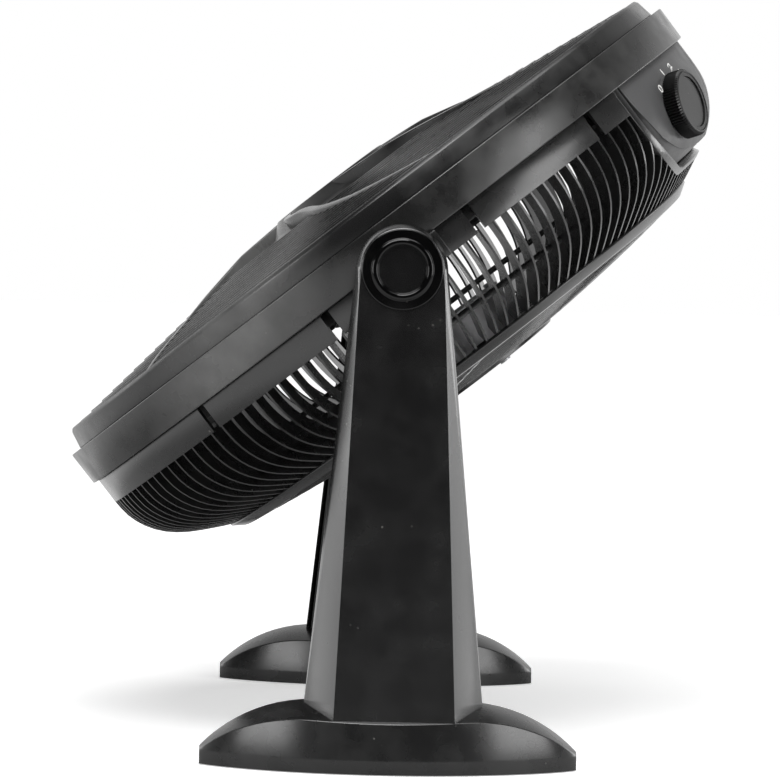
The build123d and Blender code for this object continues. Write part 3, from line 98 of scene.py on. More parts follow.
right, up, forward = camera_axes(math.radians(YAW), math.radians(PITCH), math.radians(ROLL))
lens = bpy.data.cameras.new("camera")
lens.sensor_width = SENSOR
lens.lens = LENS_PIXELS / PICTURE * SENSOR
lens.clip_start, lens.clip_end = 0.05, 100
camera = bpy.data.objects.new("camera", lens)
camera.matrix_world = Matrix((
    (right.x, up.x, -forward.x, SPOT[0]),
    (right.y, up.y, -forward.y, SPOT[1]),
    (right.z, up.z, -forward.z, SPOT[2]),
    (0, 0, 0, 1),
))
bpy.context.collection.objects.link(camera)
bpy.context.scene.camera = camera
bpy.context.scene.view_settings.view_transform = "Standard"
print("lens", round(lens.lens, 1), "mm")

# %% [markdown]
# The head is easiest to model lying level: X across the fan, Y up its face, and Z along the blade
# shaft towards the front, in millimetres. One matrix then turns and shrinks each finished mesh
# into place. The knob has a little frame of its own inside that one.

# %% Frames of the head and the knob
MM = Matrix.Scale(0.001, 4)
TILT_AXIS = (0, 2.5, 294.7)  # where the tilt axis crosses the fan's middle, in millimetres
HEAD_TURN = math.radians(38.4)
HEAD = (
    Matrix.Translation([v / 1000 for v in TILT_AXIS]) @ Matrix.Rotation(HEAD_TURN, 4, "X") @ MM
)
KNOB_AZIMUTH, KNOB_TIP = 60, 107     # degrees round the head, and away from the blade shaft
KNOB_SPOT = (234, 0, -25)
KNOB_ON_HEAD = (
    Matrix.Rotation(math.radians(KNOB_AZIMUTH), 4, "Z")
    @ Matrix.Translation(KNOB_SPOT)
    @ Matrix.Rotation(math.radians(KNOB_TIP), 4, "Y")
)
KNOB = HEAD @ KNOB_ON_HEAD
STAND = MM
print("head turned by", round(math.degrees(HEAD_TURN), 1), "degrees")

# %% [markdown]
# Every material is wired from the same small steps: a sum, a change of range, a mix of two
# colours. Each could be wired by hand in five lines. As helpers that add one node and hand back
# its output, they let the materials below read like short recipes.


# %% Helpers for nodes
def new_material(name):
    """An empty node material with its nodes and links."""
    material = bpy.data.materials.new(name)
    material.use_nodes = True
    material.node_tree.nodes.clear()
    return material, material.node_tree.nodes, material.node_tree.links


def show_surface(nodes, links, shader):
    """Makes a shader the surface of its material."""
    output = nodes.new("ShaderNodeOutputMaterial")
    links.new(shader, output.inputs["Surface"])


def feed(links, value, socket):
    """Sets a socket to a number or colour, or links it to another node's output."""
    if isinstance(value, (int, float, tuple)):
        socket.default_value = value
    else:
        links.new(value, socket)


def math_node(nodes, links, operation, first, second, clamp=False):
    node = nodes.new("ShaderNodeMath")
    node.operation = operation
    node.use_clamp = clamp
    feed(links, first, node.inputs[0])
    feed(links, second, node.inputs[1])
    return node.outputs["Value"]


def span(nodes, links, value, low, high, to_low=0.0, to_high=1.0, smooth=False):
    """Maps the range from low to high onto another one, and keeps to its ends."""
    node = nodes.new("ShaderNodeMapRange")
    if smooth:
        node.interpolation_type = "SMOOTHSTEP"
    ends = {"Value": value, "From Min": low, "From Max": high, "To Min": to_low, "To Max": to_high}
    for name, end in ends.items():
        feed(links, end, node.inputs[name])
    return node.outputs["Result"]


def mix_color(nodes, links, factor, first, second, blend="MIX"):
    node = nodes.new("ShaderNodeMix")
    node.data_type = "RGBA"
    node.blend_type = blend
    feed(links, factor, node.inputs["Factor"])
    feed(links, first, node.inputs[6])
    feed(links, second, node.inputs[7])
    return node.outputs[2]


print("node helpers ready")

# %% [markdown]
# The room is plain: a pale floor and soft light. A floor could simply be a bright plane, but then
# black plastic would mirror all of it. So the floor is paler to the camera than to shiny surfaces,
# and it turns plain white away from the fan. To shiny surfaces it is painted shade, and near the
# fan its glow drops as a painted shadow of the fan.

# %% Floor
PALE = (0.9, 0.9, 0.9, 1)
SHADED = (0.3, 0.3, 0.3, 1)     # painted shade: the floor's darker colour as the shiny plastic mirrors it
FLOOR_SIZE = 30


def pale_floor_material():
    """A pale floor that keeps its shadows and turns plain white away from the fan."""
    material, nodes, links = new_material("pale_floor")
    matte = nodes.new("ShaderNodeBsdfPrincipled")
    matte.inputs["Roughness"].default_value = 0.9
    matte.inputs["Specular IOR Level"].default_value = 0.1
    reach = nodes.new("ShaderNodeVectorMath")
    reach.operation = "LENGTH"
    links.new(nodes.new("ShaderNodeTexCoord").outputs["Object"], reach.inputs[0])
    distance = reach.outputs["Value"]
    rays = nodes.new("ShaderNodeLightPath").outputs
    # painted shade: shiny surfaces see a darker floor colour
    tone = mix_color(nodes, links, rays["Is Glossy Ray"], PALE, SHADED)
    links.new(tone, matte.inputs["Base Color"])
    far = span(nodes, links, distance, 0.7, 1.6, 0.45, 1.0)
    # painted shadow: to shiny surfaces the floor glows least near the fan, where its shadow lies
    near = span(nodes, links, distance, 0.38, 0.52, 0.1, 0.75)
    to_eye = math_node(nodes, links, "MULTIPLY", rays["Is Camera Ray"], far)
    mirrored_glow_with_painted_shadow = math_node(nodes, links, "MULTIPLY", rays["Is Glossy Ray"], near)
    glow = nodes.new("ShaderNodeEmission")
    links.new(math_node(nodes, links, "ADD", to_eye, mirrored_glow_with_painted_shadow), glow.inputs["Strength"])
    both = nodes.new("ShaderNodeAddShader")
    links.new(matte.outputs["BSDF"], both.inputs[0])
    links.new(glow.outputs["Emission"], both.inputs[1])
    show_surface(nodes, links, both.outputs["Shader"])
    return material


floor_shape = bmesh.new()
bmesh.ops.create_grid(floor_shape, x_segments=4, y_segments=4, size=FLOOR_SIZE)
floor_mesh = bpy.data.meshes.new("floor")
floor_shape.to_mesh(floor_mesh)
floor_shape.free()
floor_mesh.materials.append(pale_floor_material())
floor = bpy.data.objects.new("floor", floor_mesh)
bpy.context.collection.objects.link(floor)
floor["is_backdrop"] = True
print("floor", 2 * FLOOR_SIZE, "metres wide")

# %% [markdown]
# The white behind the fan is only what the camera sees of the world. Shiny surfaces see a screen
# behind the fan that fades upwards and round the sides, as a studio backdrop does, and the light
# that falls on the fan from all round is dimmer still, so that dark plastic stays dark.

# %% World
ROOM_LIGHT = 0.06
world = bpy.data.worlds.new("studio")
bpy.context.scene.world = world
world.use_nodes = True
sky, joins = world.node_tree.nodes, world.node_tree.links
sky.clear()


def white_light(strength):
    background = sky.new("ShaderNodeBackground")
    background.inputs["Color"].default_value = (1, 1, 1, 1)
    feed(joins, strength, background.inputs["Strength"])
    return background.outputs["Background"]


def by_ray(ray, others, chosen):
    """One background for a kind of ray and another for all others."""
    mix = sky.new("ShaderNodeMixShader")
    for slot, value in enumerate((ray, others, chosen)):
        joins.new(value, mix.inputs[slot])
    return mix.outputs["Shader"]


direction = sky.new("ShaderNodeSeparateXYZ")
joins.new(sky.new("ShaderNodeTexCoord").outputs["Generated"], direction.inputs["Vector"])
behind = span(sky, joins, direction.outputs["X"], 0.25, -0.45, 0.03, 1.0, smooth=True)
fading = span(sky, joins, direction.outputs["Z"], 0.3, 0.6, 1.0, 0.3)
rays = sky.new("ShaderNodeLightPath").outputs
shiny = math_node(sky, joins, "MAXIMUM", rays["Is Glossy Ray"], rays["Is Transmission Ray"])
backdrop = white_light(math_node(sky, joins, "MULTIPLY", behind, fading))
mirrored = by_ray(shiny, white_light(ROOM_LIGHT), backdrop)
sky_out = sky.new("ShaderNodeOutputWorld")
joins.new(by_ray(rays["Is Camera Ray"], mirrored, white_light(1.0)), sky_out.inputs["Surface"])
print("room light", ROOM_LIGHT)

# %% [markdown]
# Black plastic shows little but the lamps that it mirrors. The two high lamps give the plain level
# of light, and stand where the upright faces don't mirror them. The low ones on both sides of the
# camera draw the feet and the legs, and two weak ones further round draw the outline. They sit on
# a sphere round the fan, because a turn and a height are easier to compare with the photograph
# than three coordinates.

# %% Soft lamps
MIDDLE = (0, 0, 0.27)        # what every lamp faces
REACH = 2.3


def around(azimuth, height):
    """A place on a sphere round the fan, in degrees from +X and above the level."""
    turn, lift = math.radians(azimuth), math.radians(height)
    level = REACH * math.cos(lift)
    return (level * math.cos(turn), level * math.sin(turn), MIDDLE[2] + REACH * math.sin(lift))


def softbox(name, azimuth, height, size, power):
    """A rectangular area lamp."""
    data = bpy.data.lights.new(name, "AREA")
    data.shape = "RECTANGLE"
    data.size, data.size_y = size
    data.energy = power
    lamp = bpy.data.objects.new(name, data)
    place, target = Vector(around(azimuth, height)), Vector(MIDDLE)
    facing = (place - target).to_track_quat("Z", "Y").to_matrix().to_4x4()
    lamp.matrix_world = Matrix.Translation(place) @ facing
    bpy.context.collection.objects.link(lamp)


softbox("top_softbox", 30, 78, (1.6, 1.6), 26)
softbox("front_softbox", -15, 54, (1.4, 1.0), 36)
softbox("right_softbox", 50, 27, (0.9, 0.7), 9)
softbox("right_low_softbox", 54, 9, (1.2, 0.7), 12)
softbox("right_rim", 112, 8, (0.8, 0.7), 6)
softbox("left_low_softbox", -48, 11, (1.0, 0.7), 10)
softbox("left_rim", -120, 8, (0.8, 0.7), 3)

# %% [markdown]
# Two families of finish cover the fan: moulded plastic and worked metal. Each is a shader node
# group, made once and used by many materials with their own numbers. Both take a colour and some
# numbers, and give back the colour, roughness and normal that the material's shader needs.


# %% Helpers for node groups
def group_socket(group, name, kind, default=None, output=False):
    """One named input or output of a shader group."""
    socket = group.interface.new_socket(
        name=name, in_out="OUTPUT" if output else "INPUT", socket_type=kind)
    if default is not None:
        socket.default_value = default


def new_group(name, colour, numbers):
    """A group from a colour and named numbers to a colour, a roughness and a normal."""
    group = bpy.data.node_groups.new(name, "ShaderNodeTree")
    group_socket(group, "Color", "NodeSocketColor", colour)
    for label, value in numbers.items():
        group_socket(group, label, "NodeSocketFloat", value)
    group_socket(group, "Color", "NodeSocketColor", output=True)
    group_socket(group, "Roughness", "NodeSocketFloat", output=True)
    group_socket(group, "Normal", "NodeSocketVector", output=True)
    given = group.nodes.new("NodeGroupInput").outputs
    taken = group.nodes.new("NodeGroupOutput").inputs
    return group, given, taken


def noise(nodes, links, vector, scale, detail=3.0, rough=0.55):
    texture = nodes.new("ShaderNodeTexNoise")
    texture.inputs["Scale"].default_value = scale
    texture.inputs["Detail"].default_value = detail
    texture.inputs["Roughness"].default_value = rough
    links.new(vector, texture.inputs["Vector"])
    return texture.outputs["Fac"]


def bump(nodes, links, height, distance):
    """The normal of a surface with fine relief."""
    node = nodes.new("ShaderNodeBump")
    node.inputs["Distance"].default_value = distance
    links.new(height, node.inputs["Height"])
    return node.outputs["Normal"]


print("group helpers ready")

# %% [markdown]
# Moulded ABS is never one flat colour. Up close it has a fine spark-eroded grain, from further
# off it is mottled where it was handled and where it cooled, and a few dust specks sit on it. An
# image laid on it would need seams. Noise at several scales, read from the place in space, has
# none.

# %% A node group for moulded plastic
# a painted highlight: a lighter cloudy patch on one side of the front and the ring, in place of a
# reflection
PAINTED_HIGHLIGHT_IN = (-0.150, -0.110)   # Y over which the painted highlight comes in
PAINTED_HIGHLIGHT_OUT = (-0.040, -0.085)  # Y over which the painted highlight goes
SMUDGE_COLOR = (0.012, 0.012, 0.0117, 1)
PAINTED_HIGHLIGHT_COLOR = (0.2, 0.2, 0.197, 1)
DUST_COLOR = (0.34, 0.33, 0.31, 1)
GRAIN_DEPTH = 0.00002


def dust_specks(nodes, links, place):
    """Sparse cells of a Voronoi pattern, only near their middles."""
    cells = nodes.new("ShaderNodeTexVoronoi")
    cells.inputs["Scale"].default_value = 210.0
    links.new(place, cells.inputs["Vector"])
    near = span(nodes, links, cells.outputs["Distance"], 0.16, 0.08)
    split = nodes.new("ShaderNodeSeparateColor")
    links.new(cells.outputs["Color"], split.inputs["Color"])
    chosen = span(nodes, links, split.outputs["Red"], 0.955, 0.99)
    return math_node(nodes, links, "MULTIPLY", near, chosen)


def painted_highlight_patch(nodes, links, place):
    """A lighter cloudy patch over a band of Y, a painted highlight in place of a reflection."""
    split = nodes.new("ShaderNodeSeparateXYZ")
    links.new(place, split.inputs["Vector"])
    begins = span(nodes, links, split.outputs["Y"], *PAINTED_HIGHLIGHT_IN)
    ends = span(nodes, links, split.outputs["Y"], *PAINTED_HIGHLIGHT_OUT)
    band = math_node(nodes, links, "MULTIPLY", begins, ends)
    cloud = span(nodes, links, noise(nodes, links, place, 34.0, 4.0), 0.3, 0.6, 0.55, 1.0)
    return math_node(nodes, links, "MULTIPLY", band, cloud)


def moulded_plastic_group():
    group, given, taken = new_group("moulded_plastic", (0.03, 0.03, 0.03, 1), {
        "Roughness": 0.42, "Mottle": 0.5, "Grain": 0.5, "Dust": 0.3, "Painted Highlight": 0.0})
    nodes, links = group.nodes, group.links
    place = nodes.new("ShaderNodeTexCoord").outputs["Object"]
    patches = noise(nodes, links, place, 14.0, 4.0)
    blotches = noise(nodes, links, place, 55.0, 3.0)
    smudge = math_node(nodes, links, "MULTIPLY", patches, blotches)
    smudge = span(nodes, links, smudge, 0.18, 0.38)
    # smudges make the surface duller and a touch lighter
    amount = math_node(nodes, links, "MULTIPLY", smudge, given["Mottle"], clamp=True)
    colour = mix_color(nodes, links, amount, given["Color"], SMUDGE_COLOR, blend="ADD")
    # painted highlight: a lighter colour mixed in over one side
    painted_highlight = math_node(nodes, links, "MULTIPLY", painted_highlight_patch(nodes, links, place), given["Painted Highlight"],
                     clamp=True)
    colour = mix_color(nodes, links, painted_highlight, colour, PAINTED_HIGHLIGHT_COLOR)
    speck = math_node(nodes, links, "MULTIPLY", dust_specks(nodes, links, place), given["Dust"],
                      clamp=True)
    links.new(mix_color(nodes, links, speck, colour, DUST_COLOR), taken["Color"])
    smudge_dull = math_node(nodes, links, "MULTIPLY", amount, 0.16)
    speck_dull = math_node(nodes, links, "MULTIPLY", speck, 0.4)
    base = math_node(nodes, links, "ADD", given["Roughness"], smudge_dull)
    links.new(math_node(nodes, links, "ADD", base, speck_dull, clamp=True), taken["Roughness"])
    grain = noise(nodes, links, place, 2600.0, 2.0, 0.6)
    orange_peel = noise(nodes, links, place, 210.0, 2.0, 0.5)
    height = math_node(nodes, links, "MULTIPLY", orange_peel, 0.35)
    height = math_node(nodes, links, "ADD", height, grain)
    height = math_node(nodes, links, "MULTIPLY", height, given["Grain"])
    links.new(bump(nodes, links, height, GRAIN_DEPTH), taken["Normal"])
    return group


PLASTIC = moulded_plastic_group()
print("group sockets:", [item.name for item in PLASTIC.interface.items_tree])

# %% [markdown]
# Each moulding has its own finish: of the large ones the legs are the darkest and smoothest, the
# front and the ring carry a painted highlight on one side, the panel is coarser and duller, and the
# small caps are polished. One table keeps these numbers side by side, where they are easy to
# compare and to change. IOR and coat are the same all over a piece, so they go on the shader
# itself.


# %% A paint for each plastic
def skinned_material(name, group, colour, numbers):
    """A material whose colour, roughness and normal come from a group with its own numbers."""
    material, nodes, links = new_material(name)
    shader = nodes.new("ShaderNodeBsdfPrincipled")
    skin = nodes.new("ShaderNodeGroup")
    skin.node_tree = group
    skin.inputs["Color"].default_value = (*colour, 1)
    for label, value in numbers.items():
        skin.inputs[label].default_value = value
    links.new(skin.outputs["Color"], shader.inputs["Base Color"])
    for label in ("Roughness", "Normal"):
        links.new(skin.outputs[label], shader.inputs[label])
    show_surface(nodes, links, shader.outputs["BSDF"])
    return material, shader


def plastic(name, colour, roughness, mottle, grain, dust=0.3, coat=0.0, ior=1.52, painted_highlight=0.0):
    material, shader = skinned_material(name, PLASTIC, colour, {
        "Roughness": roughness, "Mottle": mottle, "Grain": grain, "Dust": dust, "Painted Highlight": painted_highlight})
    shader.inputs["IOR"].default_value = ior
    shader.inputs["Coat Weight"].default_value = coat
    shader.inputs["Coat Roughness"].default_value = 0.2
    return material


# colour, roughness, mottle, grain, and where they differ from the usual: dust, coat, IOR, painted
# highlight
PLASTICS = {
    # the front and the ring carry a painted highlight, their last number
    "front_grille_plastic": ((0.008, 0.008, 0.0081), 0.24, 0.8, 0.4, 0.2, 0.0, 1.52, 0.45),
    "hub_plastic": ((0.012, 0.012, 0.0122), 0.28, 0.5, 0.4),
    "ring_plastic": ((0.009, 0.009, 0.0089), 0.24, 1.0, 0.5, 0.2, 0.2, 1.52, 0.5),
    "rear_grille_plastic": ((0.009, 0.009, 0.009), 0.26, 0.3, 0.4, 0.3, 0.5),
    "panel_plastic": ((0.062, 0.062, 0.063), 0.42, 0.8, 1.6),
    "inner_plastic": ((0.022, 0.022, 0.022), 0.5, 0.3, 0.5),
    "gland_rubber": ((0.015, 0.015, 0.015), 0.7, 0.3, 0.8),
    "switch_plastic": ((0.5, 0.49, 0.46), 0.5, 0.4, 0.4, 0.0),
    "spindle_plastic": ((0.6, 0.6, 0.57), 0.4, 0.3, 0.3, 0.0),
    "knob_plastic": ((0.004, 0.004, 0.0041), 0.36, 0.3, 0.8, 0.3, 0.0, 1.38),
    "capacitor_case": ((0.05, 0.05, 0.06), 0.35, 0.3, 0.3),
    "impeller_plastic": ((0.010, 0.010, 0.0104), 0.30, 0.5, 0.3),
    "nut_plastic": ((0.018, 0.018, 0.018), 0.42, 0.3, 0.4),
    "washer_nylon": ((0.72, 0.7, 0.65), 0.45, 0.3, 0.3, 0.0),
    "pad_rubber": ((0.02, 0.02, 0.02), 0.8, 0.4, 1.0, 0.6),
    "leg_plastic": ((0.003, 0.003, 0.0031), 0.23, 0.3, 0.45, 0.2, 0.5),
    "foot_plastic": ((0.008, 0.008, 0.0081), 0.25, 0.5, 0.45, 0.3, 0.6),
    "cap_gloss": ((0.0015, 0.0015, 0.0016), 0.10, 0.1, 0.05, 0.1, 0.0, 1.35),
}
PAINT = {name: plastic(name, *numbers) for name, numbers in PLASTICS.items()}
print("plastics:", len(PAINT))

# %% [markdown]
# The motor, its bearings and the screws sit behind the grilles. Each gets the marks of its own
# making: cast skin on the aluminium, thin sheets in the stator, turns of wire in the windings,
# and brushed or plated faces on the small parts. One kind of stripe at different pitches, and a
# slow blotch, cover them all.


# %% A node group for worked metal
STRIPE_DEPTH = 0.00004


def worked_metal_group():
    group, given, taken = new_group("worked_metal", (0.6, 0.6, 0.6, 1), {
        "Roughness": 0.3, "Stripes": 0.0, "Pitch": 1000.0, "Blotch": 0.35})
    nodes, links = group.nodes, group.links
    place = nodes.new("ShaderNodeTexCoord").outputs["Object"]
    # turned level with the head, so that the stripes run round the blade shaft
    turn = nodes.new("ShaderNodeMapping")
    turn.inputs["Rotation"].default_value = (-HEAD_TURN, 0, 0)
    links.new(place, turn.inputs["Vector"])
    split = nodes.new("ShaderNodeSeparateXYZ")
    links.new(turn.outputs["Vector"], split.inputs["Vector"])
    turns = math_node(nodes, links, "MULTIPLY", given["Pitch"], 2 * math.pi)
    phase = math_node(nodes, links, "MULTIPLY", split.outputs["Z"], turns)
    wave = math_node(nodes, links, "SINE", phase, 0.0)
    slow = span(nodes, links, noise(nodes, links, place, 90.0, 4.0), 0.3, 0.7)
    bare = math_node(nodes, links, "SUBTRACT", 1.0, slow)
    shade = math_node(nodes, links, "MULTIPLY", bare, given["Blotch"])
    links.new(mix_color(nodes, links, shade, given["Color"], (0, 0, 0, 1)), taken["Color"])
    duller = math_node(nodes, links, "MULTIPLY", slow, 0.15)
    links.new(math_node(nodes, links, "ADD", given["Roughness"], duller), taken["Roughness"])
    height = math_node(nodes, links, "MULTIPLY", wave, given["Stripes"])
    height = math_node(nodes, links, "ADD", height, noise(nodes, links, place, 1500.0, 2.0))
    links.new(bump(nodes, links, height, STRIPE_DEPTH), taken["Normal"])
    return group


METAL = worked_metal_group()
print("group sockets:", [item.name for item in METAL.interface.items_tree])

# %% [markdown]
# The pitch of the stripes tells the metals apart: sheets a millimetre apart in the stator, finer
# turns of copper wire, and the finest marks on ground bearing steel. The stripes could be modelled,
# but thousands of edges that are seen only between slats are better left to the bump.


# %% A finish for each metal
def metal(name, colour, roughness, stripes=0.0, pitch=900.0, blotch=0.35):
    """A metal with fine stripes round the shaft and a slow change in its shine."""
    material, shader = skinned_material(name, METAL, colour, {
        "Roughness": roughness, "Stripes": stripes, "Pitch": pitch, "Blotch": blotch})
    shader.inputs["Metallic"].default_value = 1.0
    return material


# colour, roughness, and where they differ from the usual: stripes, pitch, blotch
METALS = {
    "nickel_steel": ((0.62, 0.61, 0.58), 0.25),
    "zinc_screws": ((0.58, 0.58, 0.6), 0.28, 0.5, 2000.0),
    "cast_aluminium": ((0.6, 0.6, 0.61), 0.45, 0.0, 900.0, 0.2),
    "laminated_steel": ((0.33, 0.33, 0.34), 0.4, 3.0, 1000.0),
    "copper_wire": ((0.6, 0.24, 0.1), 0.3, 3.0, 1400.0, 0.5),
    "bearing_steel": ((0.7, 0.7, 0.71), 0.15, 0.3, 3000.0),
    "brass_insert": ((0.7, 0.52, 0.26), 0.3, 2.0, 800.0),
}
PAINT.update({name: metal(name, *numbers) for name, numbers in METALS.items()})
for subpart in frame["record"]["subparts"]:
    for holder in frame["nodes"][subpart["node"]].material_slots:
        holder.material = PAINT[subpart["material_slot"]]
print("finishes:", len(PAINT))

# %% [markdown]
# Most of the head is round about the blade shaft. Such a shape could be stacked up from cylinders,
# but its rims would be sharp. It is drawn once as a closed outline of radius and height, its
# corners are rounded while it is still flat, and it is then spun. The rounded corners are what
# catch the light along every rim.


# %% Helpers for meshes
VERT, EDGE, FACE = bmesh.types.BMVert, bmesh.types.BMEdge, bmesh.types.BMFace
MERGE = 0.0005               # vertices nearer than this are one


def only(kind, items):
    """The vertices, edges or faces among the results of an operator."""
    return [item for item in items if isinstance(item, kind)]


def round_edges(part, edges, offset, segments=2, clamp=False):
    bmesh.ops.bevel(part, geom=edges, offset=offset, segments=segments, profile=0.5,
                    affect="EDGES", material=-1, clamp_overlap=clamp)


def cut_through(part, place, normal):
    """Cuts every face that crosses a plane."""
    bmesh.ops.bisect_plane(part, geom=part.verts[:] + part.edges[:] + part.faces[:], dist=MERGE,
                           plane_co=place, plane_no=normal)


def add_part(bm, part, place=None):
    """Adds a finished bmesh to a larger one and frees it."""
    if place is not None:
        bmesh.ops.transform(part, matrix=place, verts=part.verts)
    carrier = bpy.data.meshes.new("carrier")
    part.to_mesh(carrier)
    part.free()
    bm.from_mesh(carrier)
    bpy.data.meshes.remove(carrier)


print("mesh helpers ready")


# %% Tools for turned shapes
def rounded_outline(points, rounding, segments=2):
    """A flat face in the XZ plane through (radius, height) points, with rounded corners."""
    part = bmesh.new()
    corners = [part.verts.new((x, 0, z)) for x, z in points]
    part.faces.new(corners)
    if rounding:
        free = [v for v in corners if v.co.x > 1e-6]
        bmesh.ops.bevel(part, geom=free, offset=rounding, offset_type="OFFSET", segments=segments,
                        profile=0.5, affect="VERTICES", material=-1)
    return part


def turned(points, rounding=0.5, steps=192, segments=2):
    """Solid of revolution about Z from an outline of (radius, height) points."""
    part = rounded_outline(points, rounding, segments)
    bmesh.ops.delete(part, geom=part.faces[:], context="FACES_ONLY")
    bmesh.ops.spin(part, geom=part.verts[:] + part.edges[:], cent=(0, 0, 0), axis=(0, 0, 1),
                   angle=2 * math.pi, steps=steps, use_merge=True)
    bmesh.ops.remove_doubles(part, verts=part.verts, dist=MERGE)
    bmesh.ops.recalc_face_normals(part, faces=part.faces)
    return part


def arc_of(points, start, end, rounding=0.5, steps=24):
    """The same outline spun through part of a turn, with closed ends. Angles in degrees."""
    part = rounded_outline(points, rounding)
    bmesh.ops.rotate(part, verts=part.verts, cent=(0, 0, 0),
                     matrix=Matrix.Rotation(math.radians(start), 3, "Z"))
    copy = bmesh.ops.duplicate(part, geom=part.faces[:1])["geom"]
    bmesh.ops.delete(part, geom=only(FACE, copy), context="FACES_ONLY")
    spun = bmesh.ops.spin(part, geom=only(VERT, copy) + only(EDGE, copy), cent=(0, 0, 0),
                          axis=(0, 0, 1), angle=math.radians(end - start), steps=steps)
    bmesh.ops.contextual_create(part, geom=only(EDGE, spun["geom_last"]))
    bmesh.ops.remove_doubles(part, verts=part.verts, dist=MERGE)
    bmesh.ops.recalc_face_normals(part, faces=part.faces)
    return part


sample = turned([(1, 0), (2, 0), (2, 1), (1, 1)], 0.1, steps=16)
print("a square outline spun in 16 steps has", len(sample.faces), "faces")
sample.free()

# %% [markdown]
# A finished mesh becomes a piece in one place, so that none is forgotten: it is moved into the
# fan's frame, gets its finish and smooth shading with sharp edges kept, is hung on the body it
# moves with, and hides the CAD nodes it takes the place of.


# %% A piece of the fan
def add_piece(name, part, place, slot, body, *nodes, smooth=35.0):
    """Turns a bmesh into a piece of the object that rides on a body and stands for CAD nodes."""
    bmesh.ops.transform(part, matrix=place, verts=part.verts)
    if place.determinant() < 0:
        bmesh.ops.reverse_faces(part, faces=part.faces)
    mesh = bpy.data.meshes.new(name)
    part.to_mesh(mesh)
    part.free()
    mesh.materials.append(PAINT[slot])
    mesh.shade_smooth()
    mesh.set_sharp_from_angle(angle=math.radians(smooth))
    piece = bpy.data.objects.new(name, mesh)
    bpy.context.collection.objects.link(piece)
    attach(piece, body)
    if nodes:
        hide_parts(*nodes)
    print(name, len(mesh.vertices), "vertices")


print("finishes to choose from:", len(PAINT))


# %% [markdown]
# The housing ring is the wide band round the head: an outer wall with a softly rounded front
# edge, a flat front, and the duct that runs close round the blades. One outline holds all three,
# so the rounding runs on without a seam.

# %% Housing ring
RING_FRONT = 30.9
ring = bmesh.new()
add_part(ring, turned([
    (239.7, 7.6), (240, RING_FRONT), (207, RING_FRONT), (207, -2), (209.4, -2), (209.4, 28.5),
    (237.4, 28.5), (237.4, 7.6),
], 0.9, steps=288, segments=3))
add_piece("ring_band", ring, HEAD, "ring_plastic", "head", "housing_ring")

# %% [markdown]
# The front grille is one moulding: a bezel, fourteen round slats that rise towards the middle,
# six curved arms and the shallow dish round the hub. The slats could be rings of wire, but the
# real ones are tall and thin, so each is turned from a slim rounded outline.

# %% Front grille slats and bezel
FIRST_SLAT, SLAT_PITCH, SLATS = 98.0, 9.5, 14
LAST_SLAT = FIRST_SLAT + SLAT_PITCH * (SLATS - 1)
BEZEL_TOP, DOME_SLOPE = 44.6, 0.122
BOSSES, BOSS_RADIUS = 8, 222.5       # screw bosses under the bezel


def dome(radius):
    """Height of the slats' front edges."""
    return BEZEL_TOP + DOME_SLOPE * (LAST_SLAT + 4 - radius)


def slat(radius, top, thickness=1.8, depth=7.0):
    half = thickness / 2
    return turned([(radius - half, top - depth), (radius + half, top - depth),
                   (radius + half, top), (radius - half, top)], 0.45, steps=160)


front = bmesh.new()
for number in range(SLATS):
    radius = FIRST_SLAT + SLAT_PITCH * number
    add_part(front, slat(radius, dome(radius)))
add_part(front, turned([
    (229.4, RING_FRONT), (233.0, RING_FRONT), (230.9, 42.4), (229.2, BEZEL_TOP), (225, BEZEL_TOP),
    (225, 37.6), (227.2, 37.6), (227.2, 42.2), (228.4, 42.2),
], 0.6, steps=288, segments=3))
for number in range(BOSSES):
    boss_place = (Matrix.Rotation(math.radians((number + 0.5) * 360 / BOSSES), 4, "Z")
                  @ Matrix.Translation((BOSS_RADIUS, 0, 0)))
    add_part(front, turned([(0, 12.3), (4.6, 12.3), (4.6, 43.6), (0, 43.6)], 0.3, steps=24),
             boss_place)
print("slats from", FIRST_SLAT, "to", LAST_SLAT)

# %% [markdown]
# The arms and the back's ribs are bars on a curve. A curve object with a bevel could draw them,
# but not with a height and width that change along the way. So each starts as a straight bar that
# is cut across many times, and a rule then says where each of its vertices goes.


# %% Bars that bend
def smooth_path(points, share):
    """A point a share of the way along a smooth curve through the points."""
    spans = len(points) - 1
    at = min(max(share, 0.0), 1.0) * spans
    k = min(int(at), spans - 1)
    t = at - k
    before = points[max(k - 1, 0)]
    start, end = points[k], points[k + 1]
    after = points[min(k + 2, spans)]
    return tuple(
        0.5 * (2 * b + (c - a) * t + (2 * a - 5 * b + 4 * c - d) * t ** 2
               + (3 * b - a - 3 * c + d) * t ** 3)
        for a, b, c, d in zip(before, start, end, after)
    )


def bar(length, cuts):
    """A bar along X, one wide and one high, centred on Y and standing on Z = 0, cut many times."""
    part = bmesh.new()
    bmesh.ops.create_cube(part, size=1)
    bmesh.ops.scale(part, vec=(length, 1, 1), verts=part.verts)
    bmesh.ops.translate(part, vec=(length / 2, 0, 0.5), verts=part.verts)
    along = [e for e in part.edges if abs(e.verts[0].co.x - e.verts[1].co.x) > length / 2]
    bmesh.ops.subdivide_edges(part, edges=along, cuts=cuts, use_grid_fill=True)
    return part


def bend(part, rule):
    """Moves each vertex to where a rule sends it."""
    for vert in part.verts:
        vert.co = rule(*vert.co)
    bmesh.ops.recalc_face_normals(part, faces=part.faces)
    return part


sample = bar(1.0, 4)
print("a bar with 4 cuts has", len(sample.faces), "faces")
sample.free()

# %% [markdown]
# The six arms sweep round like a spiral, from the hub's dish to the bezel. They stand proud of the
# slats near the hub and sink to their level outside. Their path is a smooth curve through a few
# (radius, angle) points, so one arm is made and turned six times.

